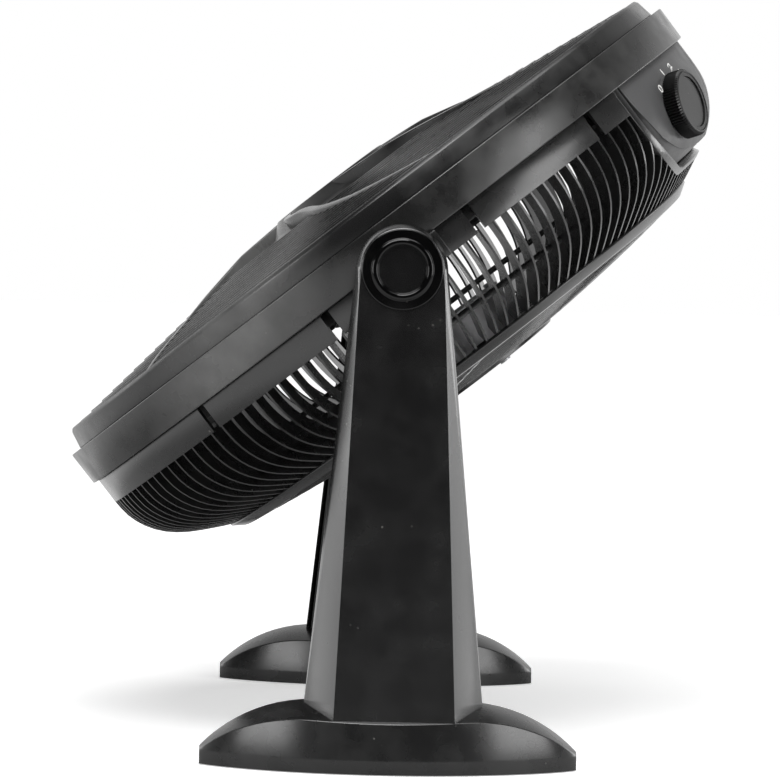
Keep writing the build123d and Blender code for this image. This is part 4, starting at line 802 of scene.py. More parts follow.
# %% Front grille arms
ARM_PATH = [(40, -55), (60, -35), (82, -17), (113, -7.7), (160, 3.7), (226, 15)]
ARM_LENGTH = 100.0
ARMS = 6
HUB_CREST, PROUD, FLUSH = 70.0, 4.3, 0.5     # the crest's height at the hub, and above the slats


def arm_crest(radius):
    """Height of an arm's crest, which stands above the slats near the hub."""
    if radius < 75:
        return HUB_CREST + (dome(75) + PROUD - HUB_CREST) * (radius - 40) / 35
    if radius < 150:
        return dome(radius) + PROUD + (FLUSH - PROUD) * (radius - 75) / 75
    return dome(radius) + FLUSH - 0.4 * (radius - 150) / 76


def arm_rule(x, y, z):
    share = x / ARM_LENGTH
    radius, angle = smooth_path(ARM_PATH, share)
    width = 9.0 - 4.0 * share
    low, high = dome(radius) - 6.5, arm_crest(radius)
    turn = math.radians(angle) + y * width / radius
    return radius * math.cos(turn), radius * math.sin(turn), low + z * (high - low)


def is_crest(edge):
    """True for the sharp edges along the upper side of an arm."""
    first = edge.verts[0].co
    above = dome(math.hypot(first.x, first.y)) - 3
    return abs(edge.calc_face_angle(0)) > 1.0 and min(v.co.z for v in edge.verts) > above


for number in range(ARMS):
    arm = bend(bar(ARM_LENGTH, 40), arm_rule)
    round_edges(arm, [e for e in arm.edges if is_crest(e)], 1.1, segments=3, clamp=True)
    add_part(front, arm, Matrix.Rotation(math.radians(360 / ARMS * number), 4, "Z"))
print("arms bent along", len(ARM_PATH), "points")

# %% [markdown]
# The dish closes the middle between the first slat and the hub. It is part of the same moulding,
# so it is turned like the slats and joined into the same piece.


# %% Front grille dish
DISH = dome(FIRST_SLAT) - 3.0
add_part(front, turned([
    (37.2, 67.8), (39.6, 67.8), (39.6, 70.4), (42, 70.4), (50, DISH + 5.0), (58, DISH + 1.5),
    (66, DISH), (FIRST_SLAT + 0.5, DISH), (FIRST_SLAT + 0.5, DISH - 2.4), (64, DISH - 2.4),
    (54, DISH), (37.2, DISH + 7),
], 0.8, steps=160, segments=3))
add_piece("front_guard", front, HEAD, "front_grille_plastic", "head", "front_grille")

# %% [markdown]
# The hub's disc is a separate plate, a little duller than the grille, with a collar below it. It
# is left bare. A flat disc would shine evenly, so its edge is 0.4 mm lower than its middle, which
# is enough to draw a fine line of shine.


# %% Hub disc
hub = bmesh.new()
add_part(hub, turned([
    (0, 68.0), (39.35, 68.0), (39.35, 70.0), (38.4, 70.3), (0, 70.4),
], 0.35, steps=128, segments=3))
add_part(hub, turned([(37.0, 64.0), (37.0, 68.2), (34.6, 68.2), (34.6, 64.0)], 0.2, steps=96))
add_piece("hub_plate", hub, HEAD, "hub_plastic", "head", "hub_disc")

# %% [markdown]
# The rear grille wraps the back: a short skirt under the housing ring, then 144 thin ribs that
# follow the rounded shoulder to the back ring. Everything that lies on the shoulder, the ribs and
# the control panel alike, needs the same curve, so it is measured once as a share of its length.


# %% Shoulder curve
SHOULDER = [
    (236.0, -8.8), (235.2, -20.0), (232.2, -30.0), (226.9, -39.4), (219.2, -47.9), (209.4, -55.0),
    (198.2, -61.0), (187.6, -66.2), (178.0, -70.2),
]
SKIRT_OUT = 236.0


def shoulder(share, depth=0.0):
    """Radius and height on the shoulder at a share of its length, moved inwards by a depth."""
    radius, height = smooth_path(SHOULDER, share)
    ahead, behind = smooth_path(SHOULDER, share + 0.01), smooth_path(SHOULDER, share - 0.01)
    along = Vector((ahead[0] - behind[0], ahead[1] - behind[1])).normalized()
    return radius + along.y * depth, height - along.x * depth


def halving(rule, low, high):
    """The place between two ends where a rule stops being true, found by halving."""
    for step in range(30):
        middle = (low + high) / 2
        if rule(middle):
            low = middle
        else:
            high = middle
    return low


def share_at_radius(radius):
    """Where the shoulder comes down to a radius."""
    return halving(lambda share: shoulder(share)[0] > radius, 0.0, 1.0)


print("shoulder ends at", [round(v, 1) for v in shoulder(1.0)])

# %% [markdown]
# The control panel takes the place of the ribs at the top. Its side edges are straight lines when
# seen along the blade shaft, from a narrow inner end to a wide outer one. Ribs, skirt and frame
# all ask here how wide the panel is at a radius.

# %% Panel outline on the shoulder
PANEL_IN, PANEL_OUT = (97.0, 176.0), (187.0, 168.0)
PANEL_INNER = 201.0          # radius of the panel's inner edge


def side_point(share):
    """A point on the panel's side edge, seen along the shaft."""
    return tuple(a + (b - a) * share for a, b in zip(PANEL_IN, PANEL_OUT))


def panel_edge_x(radius):
    """How far from the middle the panel's side edge is at a radius from the blade shaft."""
    share = halving(lambda s: math.hypot(*side_point(s)) < radius, 0.0, 1.0)
    return side_point(share)[0]


def panel_half_angle(radius):
    return math.degrees(math.asin(panel_edge_x(radius) / radius))


print("panel spans", round(panel_half_angle(SKIRT_OUT), 1), "degrees each side at the skirt and",
      round(panel_half_angle(PANEL_INNER), 1), "at its inner edge")

# %% [markdown]
# A rib is a slim bar with a rounded outer edge. One rib copied 144 times would run through the
# panel, so each is bent from its own starting place: under the skirt, or where the panel ends.


# %% Ribs of the rear grille
RIBS = 144
RIB_DEPTH, RIB_WIDTH = 10.5, 1.4
UNDER_FRAME = 0.025          # share of the shoulder by which a rib runs in under the panel's frame


def rib_start(angle_from_top):
    """Share of the shoulder at which a rib begins: under the skirt or where the panel ends."""
    if angle_from_top > panel_half_angle(SKIRT_OUT):
        return 0.0
    if angle_from_top < panel_half_angle(PANEL_INNER):
        return share_at_radius(PANEL_INNER + 0.5)
    radius = halving(lambda r: panel_half_angle(r) < angle_from_top, PANEL_INNER, SKIRT_OUT)
    return share_at_radius(radius) - UNDER_FRAME


def is_outer_rim(edge):
    """True for the two long edges of a bent rib that face outwards."""
    if len(edge.link_faces) != 2 or edge.calc_face_angle(0) <= 1.0:
        return False
    first, second = (v.co for v in edge.verts)
    along = abs(first.y - second.y) < 0.1 and (first - second).length > 1.5
    outward = any(abs(f.normal.y) < 0.3 and f.normal.x - 0.2 * f.normal.z > 0
                  for f in edge.link_faces)
    return along and outward and all(abs(v.co.y) > 0.5 for v in edge.verts)


rear = bmesh.new()
for number in range(RIBS):
    angle = 360 * number / RIBS
    from_top = abs((angle - 90 + 180) % 360 - 180)
    start = rib_start(from_top)

    def rib_rule(x, y, z):
        radius, height = shoulder(start + (1 - start) * x, RIB_DEPTH * (1 - z))
        return radius, y * RIB_WIDTH, height

    rib = bend(bar(1.0, 12), rib_rule)
    round_edges(rib, [e for e in rib.edges if is_outer_rim(e)], 0.35, segments=1)
    add_part(rear, rib, Matrix.Rotation(math.radians(angle), 4, "Z"))
print("ribs:", RIBS, "faces:", len(rear.faces))

# %% [markdown]
# The skirt is not one wall: narrow gaps part it, and the panel takes the place of its top. It
# could be turned whole and cut, but arcs with closed ends need no boolean. The two trunnions are
# the blocks in which the head hangs on its tilt axis.

# %% Skirt, rings and trunnions
SKIRT_TOP, SKIRT_BOTTOM = 7.6, -10.3
SKIRT = [(233.6, SKIRT_BOTTOM), (SKIRT_OUT, SKIRT_BOTTOM), (SKIRT_OUT, SKIRT_TOP),
         (233.6, SKIRT_TOP)]
SPLITS = (-12.9, 12.9, 38.6, 141.4, 167.1, 192.9, 218.6, 321.4, 347.1)
TRUNNION = (15.8, 60, 17.7)
edge_angle = panel_half_angle(SKIRT_OUT)
gap = math.degrees(3.0 / SKIRT_OUT)
walls = []
for low, high in zip(SPLITS, SPLITS[1:]):
    if low < 90 < high:
        walls += [(low + gap, 90 - edge_angle), (90 + edge_angle, high - gap)]
    else:
        walls.append((low + gap, high - gap))
for low, high in walls:
    add_part(rear, arc_of(SKIRT, low, high, 0.5, steps=max(6, int((high - low) / 1.5))))
WEB = [(221, -8.8), (223, -8.8), (223, 9), (221, 9)]
for angle in (38.6, 141.4):
    # a web behind the gap in the skirt keeps the light out
    add_part(rear, arc_of(WEB, angle - 2.6, angle + 2.6, 0.2, steps=4))


def back_height(radius):
    """Height of the slightly hollow back."""
    return -88.0 + 0.00047 * radius ** 2


add_part(rear, turned([(206, -46), (212, -46), (212, -42), (206, -42)], 0.5, steps=240))
BACK_EDGE = back_height(178)
add_part(rear, turned([
    (185, -66.6), (185.5, -68.4), (178, BACK_EDGE - 0.3), (174.5, BACK_EDGE - 0.9), (174.5, -69.0),
    (178, -66.6),
], 0.4, steps=240))
add_part(rear, turned([(217.4, 8.0), (235.8, 8.0), (235.8, 10.0), (217.4, 10.0)], 0.2, steps=192))
for side in (-1, 1):
    block = bmesh.new()
    bmesh.ops.create_cube(block, size=1)
    bmesh.ops.scale(block, vec=TRUNNION, verts=block.verts)
    bmesh.ops.translate(block, vec=(237.5 * side, 0, -1.45), verts=block.verts)
    round_edges(block, block.edges[:], 1.0)
    add_part(rear, block)
print("skirt walls:", len(walls))

# %% [markdown]
# Round slats with six curved arms close the flat back, and a plate in the middle carries the
# motor. The photograph doesn't show this side, so it is built as such fans usually are, with the
# same slat and bar helpers as the front.

# %% Slats and arms of the back
BACK_SLATS, BACK_FIRST = 11, 72.0
BACK_ARM_IN, BACK_ARM_OUT, BACK_SWEEP = 59.0, 178.0, 34.0
for number in range(BACK_SLATS):
    radius = BACK_FIRST + SLAT_PITCH * number
    add_part(rear, slat(radius, back_height(radius) + 7.0))


def back_arm_rule(x, y, z):
    radius = BACK_ARM_IN + (BACK_ARM_OUT - BACK_ARM_IN) * x
    turn = math.radians(BACK_SWEEP * x * (1.24 - 0.24 * x)) + y * 6.0 / radius
    low = back_height(radius) + 0.1
    return radius * math.cos(turn), radius * math.sin(turn), low + 7.6 * z


for number in range(ARMS):
    arm = bend(bar(1.0, 18), back_arm_rule)
    round_edges(arm, [e for e in arm.edges if e.calc_face_angle(0) > 1.0], 0.8)
    add_part(rear, arm, Matrix.Rotation(math.radians(30 + 360 / ARMS * number), 4, "Z"))
plate_rim = back_height(62) + 7
add_part(rear, turned([
    (0, -88.0), (62, -88.0), (62, plate_rim), (59.6, plate_rim), (59.6, -85.5), (0, -85.5),
], 0.6, steps=128, segments=3))
add_piece("rear_guard", rear, HEAD, "rear_grille_plastic", "head", "rear_grille")

# %% [markdown]
# The control panel lies on the shoulder like a saddle. Modelled in place, every edge of it would
# be a curve in space. It is easier drawn flat, as a plan in which X is the distance from the
# middle and Y the way down the skirt and shoulder. The plan is cut into narrow strips and then
# wrapped onto the curve.


# %% Wrapping flat plans onto the shoulder
SKIRT_RUN = 16.4             # the straight skirt before the shoulder begins
SHOULDER_RUN = sum(
    math.dist(shoulder(k / 100), shoulder((k + 1) / 100)) for k in range(100))
PANEL_END = SKIRT_RUN + SHOULDER_RUN * share_at_radius(PANEL_INNER)
PLAN_HALF = 165              # half the width of the plans that are cut into strips


def profile_at(run, lift):
    """Radius and height at a run down the skirt and shoulder, lifted outwards."""
    if run <= SKIRT_RUN:
        return SKIRT_OUT + lift, SKIRT_TOP - run
    return shoulder((run - SKIRT_RUN) / SHOULDER_RUN, -lift)


def wrap(x, y, z):
    """From a flat plan, X across and Y down the side, to the rounded side of the head."""
    flat_radius = profile_at(y, 0.0)[0]
    radius, height = profile_at(y, z)
    turn = math.asin(max(-0.95, min(0.95, x / flat_radius)))
    return radius * math.sin(turn), radius * math.cos(turn), height


def panel_outline(start, gap=0.0, rows=16):
    """The panel's outline in the plan, drawn in by a gap from the ribs and the back."""
    edge = []
    for k in range(rows + 1):
        run = start + (PANEL_END - gap - start) * k / rows
        edge.append((panel_edge_x(profile_at(run, 0.0)[0]) - gap, run))
    return edge + [(-x, y) for x, y in reversed(edge)]


def slice_plan(part, across=36, down=16):
    """Cuts a flat plan into strips, so that it can bend."""
    for k in range(1, across):
        cut_through(part, (-PLAN_HALF + 2 * PLAN_HALF * k / across, 0, 0), (1, 0, 0))
    for k in range(1, down):
        cut_through(part, (0, PANEL_END * k / down, 0), (0, 1, 0))


print("panel runs", round(PANEL_END, 1), "mm down the side")

# %% [markdown]
# A narrow raised frame runs round the panel, part of the rear grille. It is an inset of the
# panel's outline with its middle taken out. A wider ring of the same kind, lower down, is the
# ledge on which the panel lies, and closes the groove between the two from below.

# %% Panel frame, part of the rear grille
FRAME_WIDE = 4.0
FRAME_CORNER = 5.0           # rounding of the frame's two corners at the back
FRAME_LIFT = 0.25            # the frame stands a little proud of the ribs that run in under it
LEDGE_WIDE = 9.0             # the ledge below the frame, on which the panel lies


def frame_ring(wide, top, depth, rounding):
    """A flat band that follows the panel's outline. Its front side hides under the housing ring."""
    band = bmesh.new()
    band.faces.new([band.verts.new((x, y, 0)) for x, y in panel_outline(-wide - 1.0)])
    ends = [v for v in band.verts if abs(v.co.y - PANEL_END) < 0.001]
    bmesh.ops.bevel(band, geom=ends, offset=FRAME_CORNER, offset_type="OFFSET", segments=4,
                    profile=0.5, affect="VERTICES", material=-1)
    outer = max(band.faces, key=lambda f: f.calc_area())
    bmesh.ops.inset_region(band, faces=[outer], thickness=wide, use_even_offset=True,
                           use_boundary=True)
    middle = max(band.faces, key=lambda f: f.calc_area())
    bmesh.ops.delete(band, geom=[middle], context="FACES")
    raised = bmesh.ops.extrude_face_region(band, geom=band.faces[:])["geom"]
    bmesh.ops.translate(band, vec=(0, 0, -depth), verts=only(VERT, raised))
    tops = [e for e in band.edges if all(abs(v.co.z) < 0.001 for v in e.verts)
            and e.calc_face_angle(0) > 1.0]
    round_edges(band, tops, rounding)
    bmesh.ops.translate(band, vec=(0, 0, top), verts=band.verts)
    return band


rim = frame_ring(FRAME_WIDE, FRAME_LIFT, 6.0, 0.5)
add_part(rim, frame_ring(LEDGE_WIDE, -5.7, 1.4, 0.2))
slice_plan(rim)
bend(rim, wrap)
add_piece("panel_frame", rim, HEAD, "rear_grille_plastic", "head", "rear_grille")

# %% [markdown]
# The panel's base is the same outline, a groove's width smaller. A pad inset from it would be
# parallel to it, and the real one isn't: it starts at the panel's edge by the ring and leaves it
# further down, with a large rounded corner. So the base grows upwards loop by loop, and each new
# loop's vertices know their number and are moved onto the outline of the pad.


# %% Panel and pad
PANEL_GAP = 6.2              # from the frame's outside to the panel
BASE_LOW, BASE_TOP = -5.6, -3.8
PAD_FOOT, PAD_TOP = -0.5, 0.25
PAD_STEPS = 16               # parts of half the pad's outline, as many as the base has rows
PAD_EDGE = [
    (158.2, -0.5), (158.0, 10.0), (157.0, 19.0), (153.8, 29.5), (144.6, 43.8), (128.7, 54.9),
    (111.3, 62.3), (88.0, 66.9), (58.0, 67.6),
]


def grow(part, edges, layer, outline, z):
    """Extrudes a loop of edges and moves its new vertices onto a numbered outline at a height."""
    grown = bmesh.ops.extrude_edge_only(part, edges=edges)["geom"]
    for vert in grown:
        if isinstance(vert, VERT):
            vert.co = (*outline[vert[layer]], z)
    return [e for e in only(EDGE, grown) if all(abs(v.co.z - z) < 1e-4 for v in e.verts)]


pad = bmesh.new()
place_number = pad.verts.layers.int.new("number")
base_outline = panel_outline(-0.5, PANEL_GAP)
half = [smooth_path(PAD_EDGE, k / PAD_STEPS) for k in range(PAD_STEPS + 1)]
pad_outline = half + [(-x, y) for x, y in reversed(half)]
corners = []
for number, (x, y) in enumerate(base_outline):
    vert = pad.verts.new((x, y, BASE_LOW))
    vert[place_number] = number
    corners.append(vert)
loop = list(pad.faces.new(corners).edges)
for outline, z in ((base_outline, BASE_TOP), (pad_outline, PAD_FOOT), (pad_outline, PAD_TOP)):
    loop = grow(pad, loop, place_number, outline, z)
bmesh.ops.contextual_create(pad, geom=loop)
bmesh.ops.recalc_face_normals(pad, faces=pad.faces)
lips = [e for e in pad.edges if all(v.co.z > -4.0 for v in e.verts) and e.calc_face_angle(0) > 0.5
        and abs(e.verts[0].co.z - e.verts[1].co.z) < 0.01]
round_edges(pad, lips, 0.3)
print("pad outline", len(pad_outline), "corners")

# %% [markdown]
# Two fine grooves cross the pad. They are cut as thin strips whose middle lines are pressed in,
# which keeps the surface in one piece and needs no boolean.

# %% Grooves of the pad and its bend
PAD_SPLIT = 46.0             # a fine groove on each side of the pad's middle
for x in (PAD_SPLIT - 0.8, PAD_SPLIT - 0.5, PAD_SPLIT + 0.5, PAD_SPLIT + 0.8):
    for side in (-1, 1):
        cut_through(pad, (side * x, 0, 0), (1, 0, 0))
for vert in pad.verts:
    if abs(abs(vert.co.x) - PAD_SPLIT) < 0.6 and vert.co.z > -4.0:
        vert.co.z -= 1.2
slice_plan(pad)
bend(pad, wrap)
print("pad bent,", len(pad.faces), "faces")

# %% [markdown]
# The knob needs a flat seat, but the pad is curved. A drum in the knob's own frame is taken out of
# the pad with a boolean, the one place where nothing else is as simple, and a plain disc closes
# the hole at its bottom.


# %% Knob's seat in the pad
def carve(part, cutter):
    """Cuts one closed bmesh out of another with an exact boolean, and returns what is left."""
    holders = []
    for shape in (part, cutter):
        bmesh.ops.triangulate(shape, faces=shape.faces)
        mesh = bpy.data.meshes.new("carving")
        shape.to_mesh(mesh)
        shape.free()
        holder = bpy.data.objects.new("carving", mesh)
        bpy.context.collection.objects.link(holder)
        holders.append(holder)
    cut = holders[0].modifiers.new("cut", "BOOLEAN")
    cut.operation, cut.solver, cut.object = "DIFFERENCE", "EXACT", holders[1]
    depsgraph = bpy.context.evaluated_depsgraph_get()
    done = bpy.data.meshes.new_from_object(holders[0].evaluated_get(depsgraph))
    result = bmesh.new()
    result.from_mesh(done)
    bpy.data.meshes.remove(done)
    for holder in holders:
        mesh = holder.data
        bpy.data.objects.remove(holder)
        bpy.data.meshes.remove(mesh)
    return result


SEAT = -1.5                  # the flat seat below the surface, in the knob's frame
SEAT_RADIUS = 22.1
recess = turned([(0, SEAT), (SEAT_RADIUS, SEAT), (SEAT_RADIUS, 14), (0, 14)], 0.0, steps=96)
bmesh.ops.transform(recess, matrix=KNOB_ON_HEAD, verts=recess.verts)
pad = carve(pad, recess)
add_part(pad, turned([(0, SEAT - 6), (20.5, SEAT - 6), (20.5, SEAT), (0, SEAT)], 0.0, steps=96),
         KNOB_ON_HEAD)
add_piece("panel_cover", pad, HEAD, "panel_plastic", "head", "control_panel")

# %% [markdown]
# The knob is a short drum with fine flutes all round. A circle with every other vertex pulled in
# gives the flutes, and a sloping rim that runs from them to a plain circle cuts them off as small
# bright teeth.


# %% Speed knob's fluted wall and rim
knob = bmesh.new()
BASE, TOP = -0.9, 9.3
FLUTES = 72
CREST_RADIUS, VALLEY_RADIUS = 21.5, 20.2
RIM_STEPS = [(20.0, TOP - 0.5), (19.6, TOP - 0.1), (19.2, TOP), (18.8, TOP - 0.2),
             (18.6, TOP - 0.5)]
foot_ring = bmesh.ops.create_circle(knob, cap_ends=True, radius=CREST_RADIUS,
                                    segments=2 * FLUTES)["verts"]
bmesh.ops.translate(knob, vec=(0, 0, BASE), verts=foot_ring)
for vert in foot_ring[1::2]:
    vert.co.x *= VALLEY_RADIUS / CREST_RADIUS
    vert.co.y *= VALLEY_RADIUS / CREST_RADIUS
loop = knob.edges[:]
grown = bmesh.ops.extrude_edge_only(knob, edges=loop)["geom"]
for vert in only(VERT, grown):
    vert.co.z = TOP - 1.9
loop = only(EDGE, grown)
for radius, height in RIM_STEPS:
    grown = bmesh.ops.extrude_edge_only(knob, edges=loop)["geom"]
    loop = only(EDGE, grown)
    for vert in only(VERT, grown):
        share = radius / math.hypot(vert.co.x, vert.co.y)
        vert.co = (vert.co.x * share, vert.co.y * share, height)
print("flutes:", FLUTES)

# %% [markdown]
# The face lies a little below the rim. It has a crescent that is sunk further, where a finger
# rests. Two arcs could be joined into its outline, but a circle folded onto itself makes the same
# shape from one operator, and it bridges cleanly to the round rim.

# %% Knob face with its crescent
FACE_HEIGHT = TOP - 0.5
CRESCENT, CRESCENT_RADIUS, CRESCENT_TURN = 6.5, 16.5, 73
moon = bmesh.ops.create_circle(knob, radius=CRESCENT_RADIUS, segments=96)["verts"]
for vert in moon:
    if vert.co.x < 0:
        # the far half of the circle folds back onto the near half, a little behind it
        vert.co.x = max(-vert.co.x - CRESCENT, -CRESCENT / 2 - 0.02)
    vert.co.z = FACE_HEIGHT
bmesh.ops.rotate(knob, verts=moon, cent=(0, 0, 0),
                 matrix=Matrix.Rotation(math.radians(CRESCENT_TURN), 3, "Z"))
moon_edges = [e for e in knob.edges if all(v in moon for v in e.verts)]
bmesh.ops.bridge_loops(knob, edges=loop + moon_edges)
sunk = bmesh.ops.extrude_edge_only(knob, edges=moon_edges)["geom"]
bmesh.ops.translate(knob, vec=(0, 0, -0.9), verts=only(VERT, sunk))
bmesh.ops.contextual_create(knob, geom=only(EDGE, sunk))
bmesh.ops.recalc_face_normals(knob, faces=knob.faces)
add_piece("knob_cap", knob, KNOB, "knob_plastic", "knob", "speed_knob", smooth=25)

# %% [markdown]
# Small white figures beside the knob give its settings. The real ones are printed, which would
# need an image here. So they are text, half a layer of 0.24 mm above the knob's plane.

# %% Figures of the dial
DIAL_RADIUS = 25.0
DIGIT_HEIGHT = 6.0
CAPITAL_SHARE = 0.7          # height of a figure as a share of the font's size
DIGIT_TURN = 128


def dial_print():
    """White ink, a little worn."""
    material, nodes, links = new_material("dial_print")
    ink = nodes.new("ShaderNodeBsdfPrincipled")
    place = nodes.new("ShaderNodeTexCoord").outputs["Object"]
    worn = span(nodes, links, noise(nodes, links, place, 900.0, 4.0), 0.35, 0.6)
    tone = mix_color(nodes, links, worn, (0.55, 0.55, 0.53, 1), (0.82, 0.82, 0.8, 1))
    links.new(tone, ink.inputs["Base Color"])
    ink.inputs["Roughness"].default_value = 0.5
    show_surface(nodes, links, ink.outputs["BSDF"])
    return material


def figure_mesh(digit):
    """A figure as a bmesh on the XY plane."""
    letters = bpy.data.curves.new("digit", "FONT")
    letters.body = digit
    letters.size = DIGIT_HEIGHT / CAPITAL_SHARE
    letters.extrude = 0.12
    letters.offset = 0.08
    letters.align_x, letters.align_y = "CENTER", "CENTER"
    holder = bpy.data.objects.new("digit", letters)
    bpy.context.collection.objects.link(holder)
    drawn = holder.evaluated_get(bpy.context.evaluated_depsgraph_get())
    flat = bpy.data.meshes.new_from_object(drawn)
    bpy.data.objects.remove(holder)
    bpy.data.curves.remove(letters)
    shape = bmesh.new()
    shape.from_mesh(flat)
    bpy.data.meshes.remove(flat)
    return shape


white_print = dial_print()
for digit, angle in (("0", -48.75), ("1", -16.25), ("2", 16.25), ("3", 48.75)):
    shape = figure_mesh(digit)
    turn = math.radians(angle)
    spot = Vector((-math.cos(turn), math.sin(turn), 0)) * DIAL_RADIUS
    laid = Matrix.Translation(spot) @ Matrix.Rotation(math.radians(DIGIT_TURN), 4, "Z")
    bmesh.ops.transform(shape, matrix=laid, verts=shape.verts)
    bmesh.ops.remove_doubles(shape, verts=shape.verts, dist=0.001)
    bmesh.ops.recalc_face_normals(shape, faces=shape.faces)
    bmesh.ops.transform(shape, matrix=KNOB, verts=shape.verts)
    mesh = bpy.data.meshes.new("dial_" + digit)
    shape.to_mesh(mesh)
    shape.free()
    mesh.materials.append(white_print)
    piece = bpy.data.objects.new("dial_" + digit, mesh)
    bpy.context.collection.objects.link(piece)
    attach(piece, "head")
print("dial figures placed")

# %% [markdown]
# Each leg is a tapered shell with a round top. Its inner outline stands upright and its outer
# outline leans, so the side faces twist slightly, which a scaled box can't show. Two outlines are
# bridged, and the edge round the outer face is rounded, because that edge draws the leg in the
# photograph. The right leg is modelled, and the left one is its mirror image.

# %% Legs
AXIS = Vector(TILT_AXIS)
LEAN = math.radians(4.86)
LEG_REACH = 272.0            # from the tilt axis down to the leg's lower end
TAPER_REACH = 264.7          # how far down the tops' radii have grown by the spreads below
LEG_IN, LEG_STRAIGHT, LEG_OUT = 247.0, 15.0, 273.5
IN_TOP, IN_SPREAD = 27.0, 26.5       # radius of the round top, and what the taper adds to it
OUT_TOP, OUT_SPREAD = 24.7, 10.8
LOW_CORNER = 1.2             # how much further in the outer face's lower corners are
BOTH_SIDES = ((1, "right"), (-1, "left"))


def on_side(part, side):
    """Mirrors a part of the right side when it is for the left."""
    if side < 0:
        bmesh.ops.scale(part, vec=(-1, 1, 1), verts=part.verts)
        bmesh.ops.reverse_faces(part, faces=part.faces)
    return part


def leg_outline_points(radius, half, reach, steps=28):
    """A round top and two straight sides, as (Y, Z) points about the tilt axis."""
    angle = math.atan2(half - radius, reach)
    points = []
    for k in range(steps + 1):
        turn = angle + (math.pi - 2 * angle) * k / steps
        points.append((radius * math.cos(turn), radius * math.sin(turn)))
    foot = radius * math.cos(angle) + (reach + radius * math.sin(angle)) * math.tan(angle)
    return [(foot, -reach)] + points + [(-foot, -reach)]


def lying_in(part, x):
    """The faces that lie in a plane across X."""
    return [f for f in part.faces if all(abs(v.co.x - x) < 0.01 for v in f.verts)]


def leg():
    part = bmesh.new()
    share = LEG_REACH / TAPER_REACH
    inner = leg_outline_points(IN_TOP, IN_TOP + IN_SPREAD * share, LEG_REACH)
    outer = leg_outline_points(OUT_TOP, OUT_TOP + OUT_SPREAD * share, LEG_REACH / math.cos(LEAN))
    inner_face = part.faces.new(
        [part.verts.new((LEG_IN, AXIS.y + y, AXIS.z + z)) for y, z in inner])
    outer_loop = [
        part.verts.new((LEG_OUT - z * math.sin(LEAN) - (LOW_CORNER if z < -200 else 0),
                        AXIS.y + y, AXIS.z + z * math.cos(LEAN)))
        for y, z in outer
    ]
    straight = bmesh.ops.extrude_face_region(part, geom=[inner_face], use_keep_orig=True)["geom"]
    bmesh.ops.translate(part, vec=(LEG_STRAIGHT, 0, 0), verts=only(VERT, straight))
    edge_face = only(FACE, straight)[0]
    outer_face = part.faces.new(list(reversed(outer_loop)))
    outer_edges = list(outer_face.edges)
    loops = list(edge_face.edges) + outer_edges
    bmesh.ops.delete(part, geom=[edge_face, outer_face], context="FACES_ONLY")
    bmesh.ops.bridge_loops(part, edges=loops)
    bmesh.ops.contextual_create(part, geom=outer_edges)
    bmesh.ops.recalc_face_normals(part, faces=part.faces)
    # the open inner side shows the thickness of the wall
    bmesh.ops.inset_region(part, faces=lying_in(part, LEG_IN)[:1], thickness=3.2,
                           use_even_offset=True)
    hollow = max(lying_in(part, LEG_IN), key=lambda f: f.calc_area())
    bmesh.ops.translate(part, vec=(3.0, 0, 0), verts=hollow.verts)
    rim = [e for e in part.edges if len(e.link_faces) == 2 and e.calc_face_angle(0) > 0.9
           and all(v.co.x > 263 and v.co.z > 24 for v in e.verts)]
    round_edges(part, rim, 1.0, segments=3)
    return part


for side, word in BOTH_SIDES:
    add_piece("leg_" + word, on_side(leg(), side), STAND, "leg_plastic", "stand",
              "leg_shell_" + word, smooth=30)

# %% [markdown]
# A bead, a ring of shine and a sunk glossy middle make the pivot cap. It lies on the leaning face
# of the leg, so it is turned flat and then tipped by the lean.

# %% Pivot caps
CAP = [
    (0, -1.4), (16, -1.4), (16, -8), (18.4, -8), (19, -7), (19, 0), (24, 0), (24, 0.7), (23.5, 1.2),
    (18.5, 1.2), (17.9, 1.8), (17.0, 2.2), (15.6, 2.2), (14.8, 1.8), (14.3, 0.9), (13.6, -0.3),
    (0, -0.5),
]
cap_place = (Matrix.Translation((LEG_OUT, TILT_AXIS[1], TILT_AXIS[2]))
             @ Matrix.Rotation(math.pi / 2 - LEAN, 4, "Y"))
for side, word in BOTH_SIDES:
    cap = turned(CAP, 0.3, steps=128, segments=3)
    bmesh.ops.transform(cap, matrix=cap_place, verts=cap.verts)
    add_piece("cap_" + word, on_side(cap, side), STAND, "cap_gloss", "stand", "pivot_cap_" + word)

# %% [markdown]
# The feet are boats with pointed ends. A stretched sphere has the rough shape, but none of the
# lines that run from tip to tip. So a seven-cornered section is extruded along the foot, and each
# new end is moved onto the section for its place, so that the band along the floor, the edge above
# it and the crest all run through to the tips.

# %% Feet
FOOT_X, FOOT_LONG, FOOT_WIDE = 257.0, 111.7, 45.0
FOOT_STEPS = 20              # sections from the middle to a tip
CREST, CREST_BEND, CREST_FLAT = 40.0, 92.0, 45.0     # height, radius at the ends, level half
BAND_BOTTOM, BAND_TOP = 0.6, 8.8
TIP_HALF = 2.5


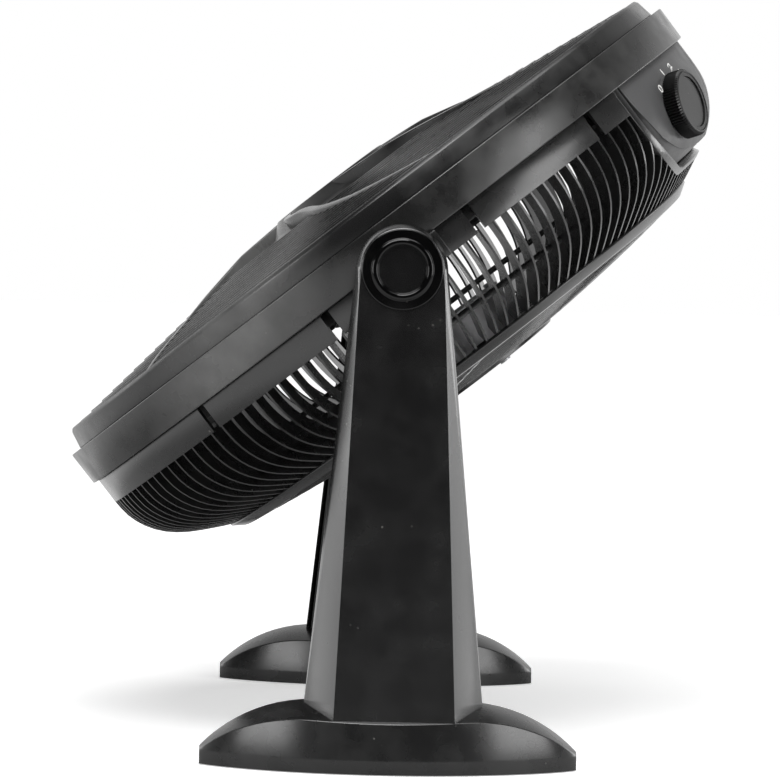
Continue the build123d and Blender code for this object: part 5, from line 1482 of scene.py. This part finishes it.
def foot_section(y):
    """Corners of the foot's cross-section at a distance from its middle."""
    share = abs(y) / FOOT_LONG
    half = TIP_HALF + (FOOT_WIDE - TIP_HALF) * math.sqrt(max(0.0, 1 - share ** 2)) ** 1.6
    past = max(0.0, abs(y) - CREST_FLAT)
    crest = CREST - (CREST_BEND - math.sqrt(CREST_BEND ** 2 - past ** 2))
    edge = max(crest - 10.0 * min(1.0, 0.15 + 0.85 * half / FOOT_WIDE), 9.5)
    edge_half = max(half - 0.9 - 2.3 * (edge - 9.0) / 21.0, 0.4)
    band_half = max(half - 0.3, 0.5)
    return [(-half, BAND_BOTTOM), (-band_half, BAND_TOP), (-edge_half, edge), (0, crest),
            (edge_half, edge), (band_half, BAND_TOP), (half, BAND_BOTTOM)]


def foot():
    part = bmesh.new()
    corner = part.verts.layers.int.new("corner")
    stations = [FOOT_LONG * math.sin(math.pi / 2 * k / FOOT_STEPS)
                for k in range(-FOOT_STEPS, FOOT_STEPS + 1)]
    verts = []
    for number, (x, z) in enumerate(foot_section(stations[0])):
        vert = part.verts.new((FOOT_X + x, stations[0], z))
        vert[corner] = number
        verts.append(vert)
    end = part.faces.new(verts)
    for y in stations[1:]:
        grown = bmesh.ops.extrude_face_region(part, geom=[end], use_keep_orig=(y == stations[1]))
        end = only(FACE, grown["geom"])[0]
        section = foot_section(y)
        for vert in end.verts:
            x, z = section[vert[corner]]
            vert.co = (FOOT_X + x, y, z)
    # each extrusion leaves its old end inside the foot
    inside = [f for f in part.faces
              if max(v.co.y for v in f.verts) - min(v.co.y for v in f.verts) < 0.001
              and abs(f.verts[0].co.y) < FOOT_LONG - 0.01]
    bmesh.ops.delete(part, geom=inside, context="FACES_ONLY")
    bmesh.ops.recalc_face_normals(part, faces=part.faces)
    rim = [e for e in part.edges if e.verts[0][corner] == e.verts[1][corner]
           and e.verts[0][corner] not in (0, 6) and abs(e.verts[0].co.y - e.verts[1].co.y) > 0.05]
    round_edges(part, rim, 0.6, segments=3)
    return part


for side, word in BOTH_SIDES:
    add_piece("base_" + word, on_side(foot(), side), STAND, "foot_plastic", "stand",
              "foot_" + word, smooth=30)

# %% Sizes and finish
low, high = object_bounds()
print("dressed box:", [round(v, 4) for v in (*low, *high)])
